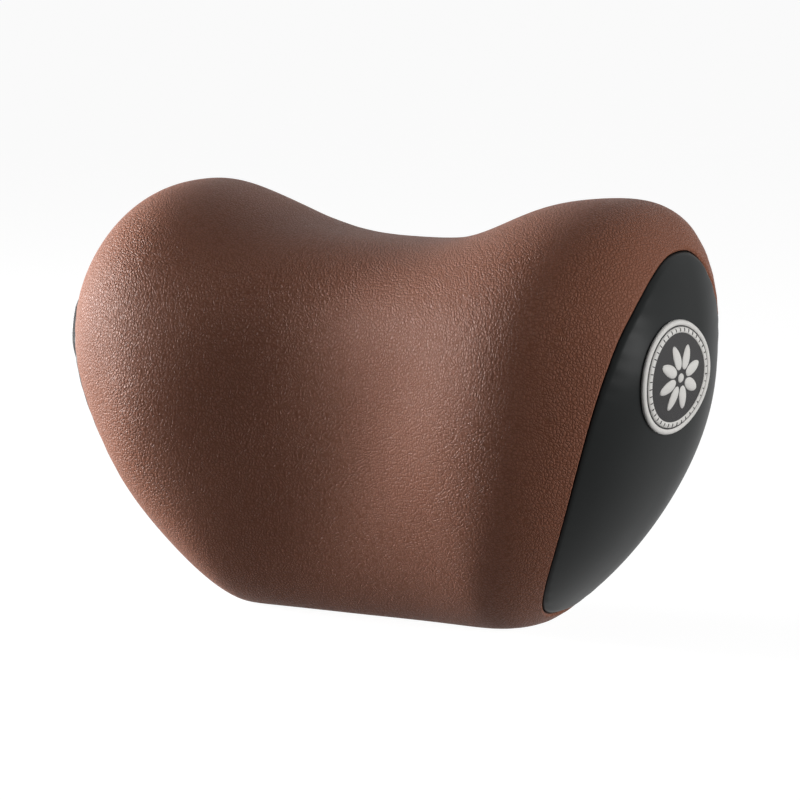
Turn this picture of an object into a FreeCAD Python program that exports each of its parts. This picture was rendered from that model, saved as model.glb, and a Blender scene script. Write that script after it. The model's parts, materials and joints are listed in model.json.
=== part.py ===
# Shiatsu neck massager: a saddle-shaped leather pillow around a foam core, with a cordless
# kneading module inside. Millimetres, +X to the right lobe, +Y to the back, +Z up.
# The origin is on the ground under the middle of the pillow.
import FreeCAD, Part
import math
import os

V = FreeCAD.Vector

# ---- pillow form -------------------------------------------------------------------------
half_width = 150.0        # centre to the end of either lobe
waist = 119.8             # height of the fullest line round the pillow
crown = 193.6             # height that the lobes rise to before they round off at the ends
crown_flare = 6.4         # how far out the lobe tops stay full
crown_round = 0.562       # how the lobe tops round off at the ends
saddle_dip = 29.8         # how far the top falls in the middle
saddle_reach = 132.7      # distance from the middle over which the dip runs out
saddle_power = 1.31       # above 1 makes the middle of the dip flatter
belly_drop = 20.2         # how far the underside would reach below the ground before it is cut flat
ground_sink = 5.0         # depth of the form below the ground that the flat base removes
belly_blend = 5.9         # softness of the change from the flat base to the rising sides
front_depth = 55.3        # waist to front at the middle
lobe_depth = 22.8         # how much further the lobes come forward
lobe_reach = 105.5        # distance from the middle to the fullest front
back_depth = 60.0         # waist to back
back_flare = 4.5          # how far out the back stays full
lobe_set_back = 15.0      # how far the lobe tops lean back
set_back_flare = 14.0     # how far out they lean back before the lean fades at the ends
lean = 0.04               # backward lean of the whole form, per millimetre of height
depth_shift = 2.7         # brings the middle of the depth over the origin
end_share = 0.997         # share of the half width where the form is closed by a small flat
stations = 19             # sections across the width
ring_points = 36          # points round each section

# ---- cover, foam and seams ---------------------------------------------------------------
cover_thick = 3.0
foam_gap = 0.3
liner_thick = 1.3
rear_seam_y = 39.6        # where the leather meets the rear panel
seam_foot = 83.0          # side seam, distance from the middle at the ground
seam_mid = (114.4, 55.0)  # side seam, distance and height a third of the way up
seam_shoulder = (140.7, 138.0)  # where the seam starts to bend inwards over the lobe
seam_top = (137.4, 166.0)
trim_gap = 0.3            # gap between the cover and what is sewn or stuck on it

# ---- badge, strap and zip ----------------------------------------------------------------
badge_radius = 24.0
badge_thick = 1.2
badge_y, badge_z = -10.9, 114.0
strap_width = 38.0
strap_z = 118.0
strap_half = 108.0        # half length of the free strap
strap_thick = 2.0
tab_length = 14.0
tab_overhang = 3.0
tab_thick = 3.0
adjuster_x = 45.0
adjuster_length = 26.0
adjuster_overhang = 4.5
adjuster_thick = 3.0
adjuster_bar = 3.0
zip_z = 43.0
zip_half = 66.0
zip_travel = 120.0
tape_width = 14.0
tape_thick = 0.6
tape_spare = 9.0          # tape beyond each end of the chain
tooth_pitch = 3.0
tooth_height = 3.4
tooth_depth = 1.2
slider_size = (10.0, 8.0, 1.3)   # length, width and plate thickness
slider_gap = 0.3
pull_size = (4.6, 20.0, 1.4)     # width, length and thickness
pull_pin_radius = 1.0
pull_pin_gap = 0.05

# ---- kneading mechanism ------------------------------------------------------------------
mech_z = 98.0             # height of both kneading shafts
wheel_y = 4.0             # mid-plane of the worm wheels
gear_module = 2.0
wheel_teeth = 42
wheel_width = 10.0
worm_pitch_radius = 6.0
gear_backlash = 0.4       # taken off the thickness of every tooth and thread
root_gap = 0.4
worm_turns = 4
hub_radius = 9.0
wheel_holes = (22.0, 7.0)  # distance from the shaft and radius
shaft_radius = 4.0
shaft_gap = 0.05
bush_radius = 6.5
bush_flange = (8.0, 1.0)  # radius and thickness
float_gap = 0.2
disc_radius = 38.0
disc_thick = 6.0
disc_clear = 2.0          # between the gearbox cover and the disc
disc_holes = (24.0, 6.0)  # distance from the shaft and radius
head_orbit = 23.0
head_radius = 14.5
head_length = 20.5
head_gap = 0.3
head_flutes = (21.5, 9.0)  # distance from the head's axis and radius
head_pin_radius = 3.0
head_screw = (5.5, 2.5)   # radius and height
window_clear = 4.0
disc_screw = (5.0, 2.0)
thread_radius = 1.5

# ---- module casing -----------------------------------------------------------------------
module_low = (42.0, 27.0)     # lower corner, distance from the middle and height
module_side = (97.0, 78.0)
module_top_z = 145.0
module_round = 12.0
module_front = -14.5
module_back = 37.5
shell_wall = 2.5
plate_gap = 0.3
frame_thick = 2.5
cover_plate = (-14.0, 3.0)    # front face and thickness of the gearbox cover
chassis = (19.5, 2.5)         # front face and thickness of the chassis plate
boss_radius = 4.5
frame_bosses = [(87.0, 136.0), (42.0, 41.0)]
gear_posts = [(10.0, 135.0), (30.0, 48.0)]
gear_post_radius = 4.0
chassis_posts = [(86.0, 112.0), (22.0, 56.0)]
screw_head = (2.8, 1.9)

# ---- motor, battery and electronics ------------------------------------------------------
motor_radius = 13.85
motor_bottom, motor_top = 31.0, 67.0
motor_boss = (5.0, 1.5)
motor_shaft_radius = 1.6
motor_screw_x = 8.5
small_head = (2.3, 1.8)       # radius and height
mount_hole = (10.0, 50.0)
worm_shaft_radius = 2.5
end_bush = (5.0, 5.0)         # radius and length
end_bush_z = 121.0
mount_sheet = 1.5
mount_half = 14.0
battery_size = (65.0, 11.0, 35.0)
battery_corner = (-78.0, 23.5, 66.0)
board_size = (66.0, 1.6, 50.0)
board_corner = (12.0, 30.0, 66.0)
board_inset = 4.0
board_post_radius = 3.0
board_screw = (1.0, 1.8, 1.5)    # thread radius, head radius and head height
wire_radius = 1.5
wire_clear = 0.5
socket_x, socket_z = 70.0, 80.0
socket_slot = (9.0, 3.2)
socket_wall = 0.35
socket_tongue = (3.3, 0.35)      # half width and half thickness
socket_block = (14.0, 6.0, 9.0)
grommet_neck, grommet_flange = 6.8, 8.6

# ---- control pod on the left panel -------------------------------------------------------
bezel_radius, bezel_inner = 23.5, 17.0
bezel_proud, bezel_skirt = 2.0, 9.0
light_ring = (16.8, 14.2, 4.0)   # outer radius, inner radius and depth of its foot
light_proud = 1.0
button_radius, button_proud, button_rim = 13.8, 2.4, 4.2
stem_radius, stem_gap = 4.0, 0.4
stem_bite = 1.3                  # how deep the stem sits in the switch base at rest
button_travel = 1.5
base_thick = 4.0
base_radius = 23.0


def signed_power(value, power):
    return math.copysign(abs(value) ** power, value) if abs(value) > 1e-9 else 0.0


def reach(s, grow):
    """Top, underside, front and back reach of the section at share s of the half width."""
    x = abs(s) * half_width
    side = (1 - abs(s) ** crown_flare) ** crown_round
    saddle = 0.5 + 0.5 * math.cos(math.pi * min(x / saddle_reach, 1) ** saddle_power)
    top = waist + (crown - waist) * side - saddle_dip * saddle
    rise = 1 - (1 - abs(s) ** belly_flare) ** belly_round
    belly = -belly_drop + (waist + ground_sink + belly_drop) * rise
    low = 0.5 * (belly + math.hypot(belly, belly_blend)) - ground_sink
    lobe = 0.5 - 0.5 * math.cos(math.pi * min(x / lobe_reach, 1))
    front = (front_depth + lobe_depth * lobe) * (1 - abs(s) ** front_flare) ** front_round
    back = back_depth * math.sqrt(1 - abs(s) ** back_flare)
    return top + grow, low - grow, front + grow, back + grow


def surface_y(y_local, z, s):
    """Sets a section point back with the lean of the form and of the lobe tops."""
    lobe_lean = lobe_set_back * s ** 2 * (1 - abs(s) ** set_back_flare) * (max(z, 0) / crown) ** 2
    return y_local + depth_shift + lean * (z - 100) + lobe_lean


def section(s, grow):
    """Points round a superellipse whose four quarters have their own reach."""
    top, low, front, back = reach(s, grow)
    points = []
    for i in range(ring_points):
        turn = 2 * math.pi * i / ring_points
        across, up = math.cos(turn), math.sin(turn)
        power = rear_square if across >= 0 else (front_top_square if up >= 0 else front_low_square)
        y = (back if across >= 0 else front) * signed_power(across, 2 / power)
        z = waist + (top - waist if up >= 0 else waist - low) * signed_power(up, 2 / power)
        points.append(V(s * (half_width + grow), surface_y(y, z, s), z))
    return points


def rear_y(x, z, grow=0.0):
    """Depth of the back surface at a point seen from behind."""
    s = x / (half_width + grow)
    top, low, front, back = reach(s, grow)
    up = (z - waist) / (top - waist) if z > waist else (waist - z) / (waist - low)
    return surface_y(back * (1 - up ** rear_square) ** (1 / rear_square), z, s)


def side_x(y, z):
    """Distance of the end surface from the middle at a point seen from the side."""
    inside, outside = 0.5, end_share
    for step in range(40):
        s = (inside + outside) / 2
        top, low, front, back = reach(s, 0.0)
        across = (y - surface_y(0.0, z, s)) / (back if y > surface_y(0.0, z, s) else front)
        up = (z - waist) / (top - waist if z > waist else waist - low)
        power = rear_square if across >= 0 else (front_top_square if up >= 0 else front_low_square)
        if abs(across) ** power + abs(up) ** power < 1:
            inside = s
        else:
            outside = s
    return inside * half_width


pillows = {}


def pillow(grow):
    """The whole form grown outwards by grow, closed and cut flat at its base."""
    if grow not in pillows:
        end = math.asin(end_share)
        rings = []
        for i in range(stations):
            curve = Part.BSplineCurve()
            s = math.sin(end * (2 * i / (stations - 1) - 1))
            curve.interpolate(Points=section(s, grow), PeriodicFlag=True)
            rings.append(Part.Wire(curve.toShape()))
        form = Part.makeLoft(rings, True, False, False)
        above = Part.makeBox(400, 400, 400, V(-200, -200, max(-grow, 0)))
        pillows[grow] = form.common(above)
    return pillows[grow]


def skin(low, high, region):
    """A sheet that follows the form between two offsets, cut to a region."""
    return pillow(high).common(region).cut(pillow(low))


def box(x_range, y_range, z_range):
    corner = V(x_range[0], y_range[0], z_range[0])
    return Part.makeBox(x_range[1] - x_range[0], y_range[1] - y_range[0],
                        z_range[1] - z_range[0], corner)


def rod(x, z, radius, y_low, y_high):
    return Part.makeCylinder(radius, y_high - y_low, V(x, y_low, z), V(0, 1, 0))


def post(x, y, radius, z_low, z_high):
    return Part.makeCylinder(radius, z_high - z_low, V(x, y, z_low), V(0, 0, 1))


def rounded_loop(points, radius):
    """Closed loop of straight runs and corner arcs through points (x, z) in the plane y = 0."""
    corners = [V(x, 0, z) for x, z in points]
    edges, starts, ends, middles = [], [], [], []
    for i, corner in enumerate(corners):
        before = (corners[i - 1] - corner).normalize()
        after = (corners[(i + 1) % len(corners)] - corner).normalize()
        half = before.getAngle(after) / 2
        run = radius / math.tan(half)
        starts.append(corner + before * run)
        ends.append(corner + after * run)
        middle = (before + after).normalize()
        middles.append(corner + middle * (radius / math.sin(half) - radius))
    for i in range(len(corners)):
        edges.append(Part.Arc(starts[i], middles[i], ends[i]).toShape())
        edges.append(Part.LineSegment(ends[i], starts[(i + 1) % len(corners)]).toShape())
    return Part.Wire(edges)


def slab(loop, y_low, y_high):
    face = Part.Face(loop)
    face.translate(V(0, y_low, 0))
    return face.extrude(V(0, y_high - y_low, 0))


def plate(x_range, z_range, radius, y_low, y_high):
    """Flat plate with rounded corners."""
    x0, x1 = x_range
    z0, z1 = z_range
    return slab(rounded_loop([(x0, z0), (x1, z0), (x1, z1), (x0, z1)], radius), y_low, y_high)


def both_sides(points):
    return [(side * x, z) for x, z in points for side in (1, -1)]


def fused(shapes):
    return shapes[0].multiFuse(shapes[1:]).removeSplitter()


# ---- cover -------------------------------------------------------------------------------
def side_region(side):
    """Everything outside the side seam, which is two arcs in one seen from the front."""
    foot, middle = V(seam_foot, 0, 0), V(seam_mid[0], 0, seam_mid[1])
    shoulder, top = V(seam_shoulder[0], 0, seam_shoulder[1]), V(seam_top[0], 0, seam_top[1])
    low_circle = Part.Circle(foot, middle, shoulder)
    outwards = (shoulder - low_circle.Center).normalize()
    rise = top - shoulder
    top_radius = -rise.dot(rise) / (2 * rise.dot(outwards))
    top_centre = shoulder - outwards * top_radius

    def on_circle(centre, radius, z):
        return V(centre.x + math.sqrt(radius ** 2 - (z - centre.z) ** 2), 0, z)

    low, high, far = -10.0, crown - 3, half_width + 30
    start = on_circle(low_circle.Center, low_circle.Radius, low)
    end = on_circle(top_centre, top_radius, high)
    seam = [Part.Arc(start, middle, shoulder).toShape(), Part.Arc(shoulder, top, end).toShape()]
    rest = Part.makePolygon([end, V(far, 0, high), V(far, 0, low), start])
    region = slab(Part.Wire(seam + rest.Edges), -120, 120)
    return region if side > 0 else region.mirror(V(0, 0, 0), V(1, 0, 0))


def rear_region():
    return box((-200, 200), (rear_seam_y, 120), (-10, 250))


def cover_shell():
    return pillow(0.0).cut(pillow(-cover_thick))


def leather_cover():
    return cover_shell().cut(side_region(1)).cut(side_region(-1)).cut(rear_region())


def side_panel(side):
    panel = cover_shell().common(side_region(side))
    if side < 0:
        panel = panel.cut(pod_place(Part.makeCylinder(bezel_radius + 0.1, 60, V(0, 0, -30))))
    return panel


def rear_panel():
    panel = cover_shell().common(rear_region()).cut(side_region(1)).cut(side_region(-1))
    return panel.cut(rod(socket_x, socket_z, grommet_neck + 0.1, rear_seam_y, 100))


def side_badge():
    disc = Part.makeCylinder(badge_radius, 60, V(half_width - 40, badge_y, badge_z), V(1, 0, 0))
    return skin(trim_gap, trim_gap + badge_thick, disc)


def head_window(margin):
    """Rounded opening in front of the four heads."""
    reach_x = wheel_x + head_orbit + head_radius + margin
    half = head_orbit + head_radius + margin
    return plate((-reach_x, reach_x), (mech_z - half, mech_z + half), half - 1, -120, module_front)


def foam_core():
    foam = pillow(-cover_thick - foam_gap)
    cavity = slab(module_loop(-foam_gap), module_front - frame_thick - foam_gap, module_back + foam_gap)
    window = head_window(1.5)
    liner_bed = head_window(liner_margin + 1).cut(pillow(liner_inner - foam_gap))
    foam = foam.cut(cavity).cut(window).cut(liner_bed)
    for x, z in both_sides(frame_bosses):
        foam = foam.cut(rod(x, z, screw_head[0] + 1, module_front - 6, 0))
    pod_room = Part.makeCylinder(bezel_radius + foam_gap, 60, V(0, 0, pod_floor - foam_gap))
    foam = foam.cut(pod_place(pod_room))
    foam = foam.cut(rod(socket_x, socket_z, grommet_neck + 1.5, module_back, 100))
    return foam.cut(wire(switch_route(), wire_radius + wire_clear))


def mesh_liner():
    return skin(liner_inner, -cover_thick - foam_gap, head_window(liner_margin))


# ---- module casing -----------------------------------------------------------------------
def module_loop(inset):
    """Outline of the module, inset inwards all round."""
    half = [module_low, module_side, (module_side[0], module_top_z)]
    points = half + [(-x, z) for x, z in reversed(half)]
    loop = rounded_loop(points, module_round)
    return loop.makeOffset2D(-inset) if inset else loop


def rear_shell():
    shell = slab(module_loop(0), module_front, module_back)
    shell = shell.cut(slab(module_loop(shell_wall), module_front, floor_y))
    bosses = [rod(x, z, boss_radius, module_front, floor_y + 1) for x, z in both_sides(frame_bosses)]
    bosses += [rod(x, z, gear_post_radius, chassis[0] + chassis[1], floor_y + 1)
               for x, z in both_sides(chassis_posts)]
    bosses += [rod(x, z, board_post_radius, board_corner[1] + board_size[1], floor_y + 1)
               for x, z in board_holes()]
    shell = fused([shell] + bosses)
    for x, z in both_sides(frame_bosses + chassis_posts):
        shell = shell.cut(rod(x, z, thread_radius, module_front, floor_y - 1))
    for x, z in board_holes():
        shell = shell.cut(rod(x, z, board_screw[0], board_corner[1], floor_y - 1))
    shell = shell.cut(wire(switch_route(), wire_radius + wire_clear))
    return shell.cut(rod(socket_x, socket_z, wire_radius + 1, floor_y - 1, module_back + 1))


def front_frame():
    frame = slab(module_loop(0), module_front - frame_thick, module_front)
    for side in (1, -1):
        frame = frame.cut(rod(side * wheel_x, mech_z, disc_radius + window_clear, -40, 0))
    for x, z in both_sides(frame_bosses):
        frame = frame.cut(rod(x, z, thread_radius, -40, 0))
    return frame


def frame_screws():
    face = module_front - frame_thick
    return [screw(x, z, face - screw_head[1], face, module_front + 14) for x, z in both_sides(frame_bosses)]


def screw(x, z, head_y, seat_y, end_y):
    """Pan-head screw along Y with its head at the low end."""
    return rod(x, z, screw_head[0], head_y, seat_y).fuse(rod(x, z, thread_radius, seat_y, end_y))


def chassis_plate():
    front, thick = chassis
    panel = slab(module_loop(shell_wall + plate_gap), front, front + thick)
    for x, z in both_sides(frame_bosses):
        panel = panel.cut(rod(x, z, boss_radius + plate_gap, front, front + thick))
    block = box((-8, 8), (wheel_y - 7, front + 1), (end_bush_z, end_bush_z + end_bush[1]))
    panel = fused([panel, block])
    panel = panel.cut(post(0, wheel_y, end_bush[0], end_bush_z - 1, end_bush_z + end_bush[1] + 1))
    for x, z in shaft_centres():
        panel = panel.cut(rod(x, z, bush_radius, front - 1, front + thick + 1))
    for x, z in both_sides(chassis_posts + gear_posts) + mount_holes():
        panel = panel.cut(rod(x, z, thread_radius, front - 1, front + thick + 1))
    return panel.cut(wire(motor_route(), wire_radius + wire_clear))


def chassis_screws():
    front = chassis[0]
    return [screw(x, z, front - screw_head[1], front, floor_y - 3) for x, z in both_sides(chassis_posts)]


def gearbox_cover():
    front, thick = cover_plate
    panel = slab(module_loop(shell_wall + plate_gap), front, front + thick)
    for x, z in both_sides(frame_bosses):
        panel = panel.cut(rod(x, z, boss_radius + plate_gap, front - 1, front + thick + 1))
    posts = [rod(x, z, gear_post_radius, front + thick - 1, chassis[0]) for x, z in both_sides(gear_posts)]
    panel = fused([panel] + posts)
    for x, z in both_sides(gear_posts):
        panel = panel.cut(rod(x, z, thread_radius, front - 1, chassis[0] + 1))
        panel = panel.cut(rod(x, z, screw_head[0] + 0.2, front - 1, front + screw_head[1]))
    for x, z in shaft_centres():
        panel = panel.cut(rod(x, z, bush_radius, front - 1, front + thick + 1))
    return panel


def gearbox_screws():
    seat = cover_plate[0] + screw_head[1]
    return [screw(x, z, cover_plate[0], seat, chassis[0] + chassis[1]) for x, z in both_sides(gear_posts)]


# ---- gears, shafts and kneading heads ----------------------------------------------------
def shaft_centres():
    return [(wheel_x, mech_z), (-wheel_x, mech_z)]


def shaft_bushes():
    """Flanged bushes in the gearbox cover and in the chassis plate."""
    bushes = []
    for x, z in shaft_centres():
        for low, high, flange_low in ((cover_plate[0], cover_back, cover_back),
                                      (chassis[0], chassis[0] + chassis[1], chassis[0] - bush_flange[1])):
            body = rod(x, z, bush_radius, low, high)
            flange = rod(x, z, bush_flange[0], flange_low, flange_low + bush_flange[1])
            bore = rod(x, z, shaft_radius + shaft_gap, low - 2, high + 2)
            bushes.append(body.fuse(flange).cut(bore))
    return bushes


def wheel_loop(x_centre, phase, y):
    """Toothed outline at depth y. Teeth follow the lead of the worm, so the outline turns with y."""
    turn_at_y = (y - wheel_y) / (worm_pitch_radius * wheel_radius)
    points = []
    for k in range(wheel_teeth):
        middle = phase + 2 * math.pi * k / wheel_teeth + turn_at_y
        for radius, half in ((root_radius, -root_half), (tip_radius, -tip_half),
                             (tip_radius, tip_half), (root_radius, root_half)):
            angle = middle + half / radius
            points.append(V(x_centre + radius * math.cos(angle), y, mech_z - radius * math.sin(angle)))
    return Part.makePolygon(points + points[:1])


def worm_wheel(side):
    """Helical wheel with a long hub. The right wheel has a gap at the worm and the left one a tooth."""
    phase = math.pi / wheel_teeth if side > 0 else 0.0
    x = side * wheel_x
    rim_low, rim_high = wheel_y - wheel_width / 2, wheel_y + wheel_width / 2
    ends = [wheel_loop(x, phase, y) for y in (rim_low, rim_high)]
    rim = Part.makeLoft(ends, True, True)
    hub = rod(x, mech_z, hub_radius, cover_back + bush_flange[1] + float_gap,
              chassis[0] - bush_flange[1] - float_gap)
    wheel = rim.fuse(hub)
    orbit, radius = wheel_holes
    for k in range(6):
        angle = math.pi * k / 3
        hole_x, hole_z = x + orbit * math.cos(angle), mech_z + orbit * math.sin(angle)
        wheel = wheel.cut(rod(hole_x, hole_z, radius, rim_low - 1, rim_high + 1))
    return wheel.cut(rod(x, mech_z, shaft_radius, -40, 40))


def worm_shaft():
    """Single-start right-hand worm on its shaft, with a thin end that enters the motor."""
    low = mech_z - worm_turns / 2 * worm_lead
    helix = Part.makeHelix(worm_lead, worm_turns * worm_lead, worm_pitch_radius)
    helix.translate(V(0, 0, low))
    inner = worm_root - 0.4
    root = thread_half + (worm_pitch_radius - inner) * math.tan(pressure_angle)
    tip = thread_half - gear_module * math.tan(pressure_angle)
    corners = [V(inner, 0, low - root), V(worm_tip, 0, low - tip),
               V(worm_tip, 0, low + tip), V(inner, 0, low + root)]
    profile = Part.makePolygon(corners + corners[:1])
    thread = Part.Wire(helix.Edges).makePipeShell([profile], True, True)
    thread = thread if thread.Volume > 0 else thread.reversed()
    core = post(0, 0, worm_root, low - 4, mech_z + worm_turns / 2 * worm_lead + 4)
    shaft = post(0, 0, worm_shaft_radius, motor_top + motor_boss[1] + 1.2, end_bush_z + end_bush[1] - 0.4)
    stub = post(0, 0, motor_shaft_radius, motor_top - 8, motor_top + motor_boss[1] + 2)
    worm = fused([core, thread, shaft, stub])
    worm.translate(V(0, wheel_y, 0))
    return worm


def worm_end_bush():
    outer = post(0, wheel_y, end_bush[0], end_bush_z, end_bush_z + end_bush[1])
    return outer.cut(post(0, wheel_y, worm_shaft_radius + shaft_gap, end_bush_z - 1, end_bush_z + 10))


def output_shaft(side):
    x = side * wheel_x
    shaft = rod(x, mech_z, shaft_radius, disc_back - disc_thick, chassis[0] + chassis[1])
    return shaft.cut(rod(x, mech_z, thread_radius, disc_back - disc_thick - 1, disc_back + 6))


def kneading_disc(side):
    x = side * wheel_x
    disc = rod(x, mech_z, disc_radius, disc_front, disc_back)
    edges = [edge for edge in disc.Edges if edge.Length > 6 * disc_radius]
    disc = disc.makeFillet(1.5, edges)
    for hx, hz in head_centres(side):
        disc = disc.cut(rod(hx, hz, head_pin_radius, -60, 0))
    orbit, radius = disc_holes
    for up in (1, -1):
        disc = disc.cut(rod(x, mech_z + up * orbit, radius, -60, 0))
    return disc.cut(rod(x, mech_z, shaft_radius, -60, 0))


def disc_screw_part(side):
    x = side * wheel_x
    head = rod(x, mech_z, disc_screw[0], disc_front - disc_screw[1], disc_front)
    return head.fuse(rod(x, mech_z, thread_radius, disc_front, disc_back + 5))


def head_centres(side):
    """Both head axes of one disc: a level pair on the right, an upright pair on the left."""
    x = side * wheel_x
    if side > 0:
        return [(x - head_orbit, mech_z), (x + head_orbit, mech_z)]
    return [(x, mech_z + head_orbit), (x, mech_z - head_orbit)]


def head_pins(side):
    pins = []
    for x, z in head_centres(side):
        pin = rod(x, z, head_pin_radius, head_seat, disc_back)
        collar = rod(x, z, head_pin_radius + 2, head_base + head_gap, disc_front)
        hole = rod(x, z, thread_radius, head_seat - 1, head_seat + 10)
        pins.append(pin.fuse(collar).cut(hole))
    return pins


def massage_head(x, z):
    """Turned rubber head: a domed body with four shallow pressing lobes round its tip."""
    base, tip = head_base, head_base - head_length
    shoulder = head_base - head_length * 0.35
    heel, bulge = V(head_radius - 1.5, base, 0), V(head_radius, base - 2.5, 0)
    side, dome = V(head_radius - 0.6, shoulder, 0), V(head_radius * 0.72, tip + 5.5, 0)
    rim, nose, foot = V(head_screw[0] + 1, tip, 0), V(0, tip, 0), V(0, base, 0)
    outline = [Part.LineSegment(foot, heel), Part.Arc(heel, bulge, side), Part.Arc(side, dome, rim),
               Part.LineSegment(rim, nose), Part.LineSegment(nose, foot)]
    half = Part.Face(Part.Wire([piece.toShape() for piece in outline]))
    head = half.revolve(V(0, 0, 0), V(0, 1, 0), 360)
    orbit, radius = head_flutes
    for k in range(4):
        angle = math.pi / 4 + math.pi * k / 2
        head = head.cut(rod(orbit * math.cos(angle), orbit * math.sin(angle), radius, tip - 1, base - 5))
    head = head.cut(rod(0, 0, head_pin_radius + shaft_gap, tip - 1, base + 1))
    head = head.cut(rod(0, 0, head_screw[0] + 0.3, tip - 1, head_seat + head_gap))
    head.translate(V(x, 0, z))
    return head


def head_screws(side):
    screws = []
    for x, z in head_centres(side):
        cap = rod(x, z, head_screw[0], head_seat - head_screw[1], head_seat)
        screws.append(cap.fuse(rod(x, z, thread_radius, head_seat, head_seat + 9)))
    return screws


# ---- motor and electronics ---------------------------------------------------------------
def motor_body():
    can = post(0, wheel_y, motor_radius, motor_bottom, motor_top)
    can = can.makeFillet(1.5, [can.Edges[0], can.Edges[2]])
    boss = post(0, wheel_y, motor_boss[0], motor_top - 1, motor_top + motor_boss[1])
    cap = post(0, wheel_y, motor_radius - 4, motor_bottom - 1.2, motor_bottom + 1)
    motor = fused([can, boss, cap])
    motor = motor.cut(post(0, wheel_y, motor_shaft_radius + shaft_gap, motor_top - 9, motor_top + 5))
    for side in (1, -1):
        motor = motor.cut(post(side * motor_screw_x, wheel_y, thread_radius, motor_top - 5, motor_top + 1))
    return motor


def mount_holes():
    return both_sides([mount_hole])


def motor_mount():
    """Bent steel bracket: a flange on top of the motor and a leg against the chassis plate."""
    back = chassis[0]
    flange = box((-mount_half, mount_half), (wheel_y - 13, back), (motor_top, motor_top + mount_sheet))
    leg = box((-mount_half, mount_half), (back - mount_sheet, back), (42, motor_top + mount_sheet))
    mount = fused([flange, leg])
    mount = mount.cut(post(0, wheel_y, motor_boss[0] + 0.1, motor_top - 1, motor_top + 5))
    for side in (1, -1):
        mount = mount.cut(post(side * motor_screw_x, wheel_y, thread_radius, motor_top - 1, motor_top + 5))
    for x, z in mount_holes():
        mount = mount.cut(rod(x, z, thread_radius, 0, 30))
    return mount


def motor_screws():
    screws = []
    for side in (1, -1):
        seat = motor_top + mount_sheet
        cap = post(side * motor_screw_x, wheel_y, small_head[0], seat, seat + small_head[1])
        screws.append(cap.fuse(post(side * motor_screw_x, wheel_y, thread_radius, motor_top - 4.5, seat)))
    seat = chassis[0] - mount_sheet
    for x, z in mount_holes():
        cap = rod(x, z, small_head[0], seat - small_head[1], seat)
        screws.append(cap.fuse(rod(x, z, thread_radius, seat, chassis[0] + chassis[1])))
    return screws


def battery_pack():
    (x, y, z), (length, thick, height) = battery_corner, battery_size
    pack = box((x, x + length), (y, y + thick), (z, z + height))
    return pack.makeFillet(2.5, [edge for edge in pack.Edges if edge.Length > 30])


def board_holes():
    (x, y, z), (length, thick, height) = board_corner, board_size
    return [(x + a, z + b) for a in (board_inset, length - board_inset)
            for b in (board_inset, height - board_inset)]


def main_board():
    (x, y, z), (length, thick, height) = board_corner, board_size
    board = plate((x, x + length), (z, z + height), 2, y, y + thick)
    for hx, hz in board_holes():
        board = board.cut(rod(hx, hz, board_screw[0], y - 1, y + thick + 1))
    return board


def board_components():
    """Chips, capacitors and connectors on the front of the board."""
    face = board_corner[1]
    blocks = [((22, 32), 1.2, (96, 106)), ((40, 47), 1.6, (98, 105)), ((54, 66), 3.0, (70, 82)),
              ((20, 28), 2.4, (72, 80)), ((14, 20), 4.5, (85, 95)), ((30, 36), 4.0, (82.5, 88)),
              ((24, 34), 4.5, (109, 115)),
              ((56, 62), 2.0, (88, 94)), ((66, 72), 2.0, (96, 102))]
    parts = [box(xs, (face - tall, face), zs) for xs, tall, zs in blocks]
    for x, z in ((60, 106), (50, 88), (40, 88)):
        parts.append(rod(x, z, 3.1, face - 5, face))
    return parts


def board_screws():
    radius, head, height = board_screw
    face = board_corner[1]
    return [rod(x, z, head, face - height, face).fuse(rod(x, z, radius, face, floor_y - 1))
            for x, z in board_holes()]


def wire(points, radius):
    """Round wire along straight runs joined by arcs as large as the runs allow."""
    edges, start = [], points[0]
    for i in range(1, len(points) - 1):
        back, ahead = points[i - 1] - points[i], points[i + 1] - points[i]
        run = 0.45 * min(back.Length, ahead.Length)
        back.normalize()
        ahead.normalize()
        half = back.getAngle(ahead) / 2
        bend = run * math.tan(half)
        middle = points[i] + (back + ahead).normalize() * (bend / math.sin(half) - bend)
        near, far = points[i] + back * run, points[i] + ahead * run
        edges.append(Part.LineSegment(start, near).toShape())
        edges.append(Part.Arc(near, middle, far).toShape())
        start = far
    edges.append(Part.LineSegment(start, points[-1]).toShape())
    ring = Part.Wire(Part.makeCircle(radius, points[0], points[1] - points[0]))
    tube = Part.Wire(edges).makePipeShell([ring], True, False)
    return tube if tube.Volume > 0 else tube.reversed()


def switch_route():
    """From the board, over the battery, out of the casing and through the foam to the switch."""
    end = pod_place(Part.Vertex(0, 0, pod_floor)).Point
    before = pod_place(Part.Vertex(0, 0, pod_floor - 8)).Point
    inner = [V(29, 27, 115.8), V(24, 27, 128), V(-30, 27, 129), V(-84, 27, 128), V(-113, 18, 122)]
    return inner + [before, end]


def motor_route():
    return [V(33, 28, 82), V(35.3, 26.5, 61), V(34, 27, 40), V(33, 12, 37), V(14.2, 8, 37)]


def battery_route():
    x = battery_corner[0] + battery_size[0]
    return [V(x + 0.5, 29, 90), V(x + 12, 26.5, 92), V(13.5, 27.5, 90)]


def wire_harness():
    return [wire(route, wire_radius) for route in (switch_route(), motor_route(), battery_route())]


def slot(width, height, y_low, y_high):
    """Rounded slot around the charging inlet."""
    across = (socket_x - width / 2, socket_x + width / 2)
    up = (socket_z - height / 2, socket_z + height / 2)
    return plate(across, up, height / 2 - 0.01, y_low, y_high)


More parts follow.
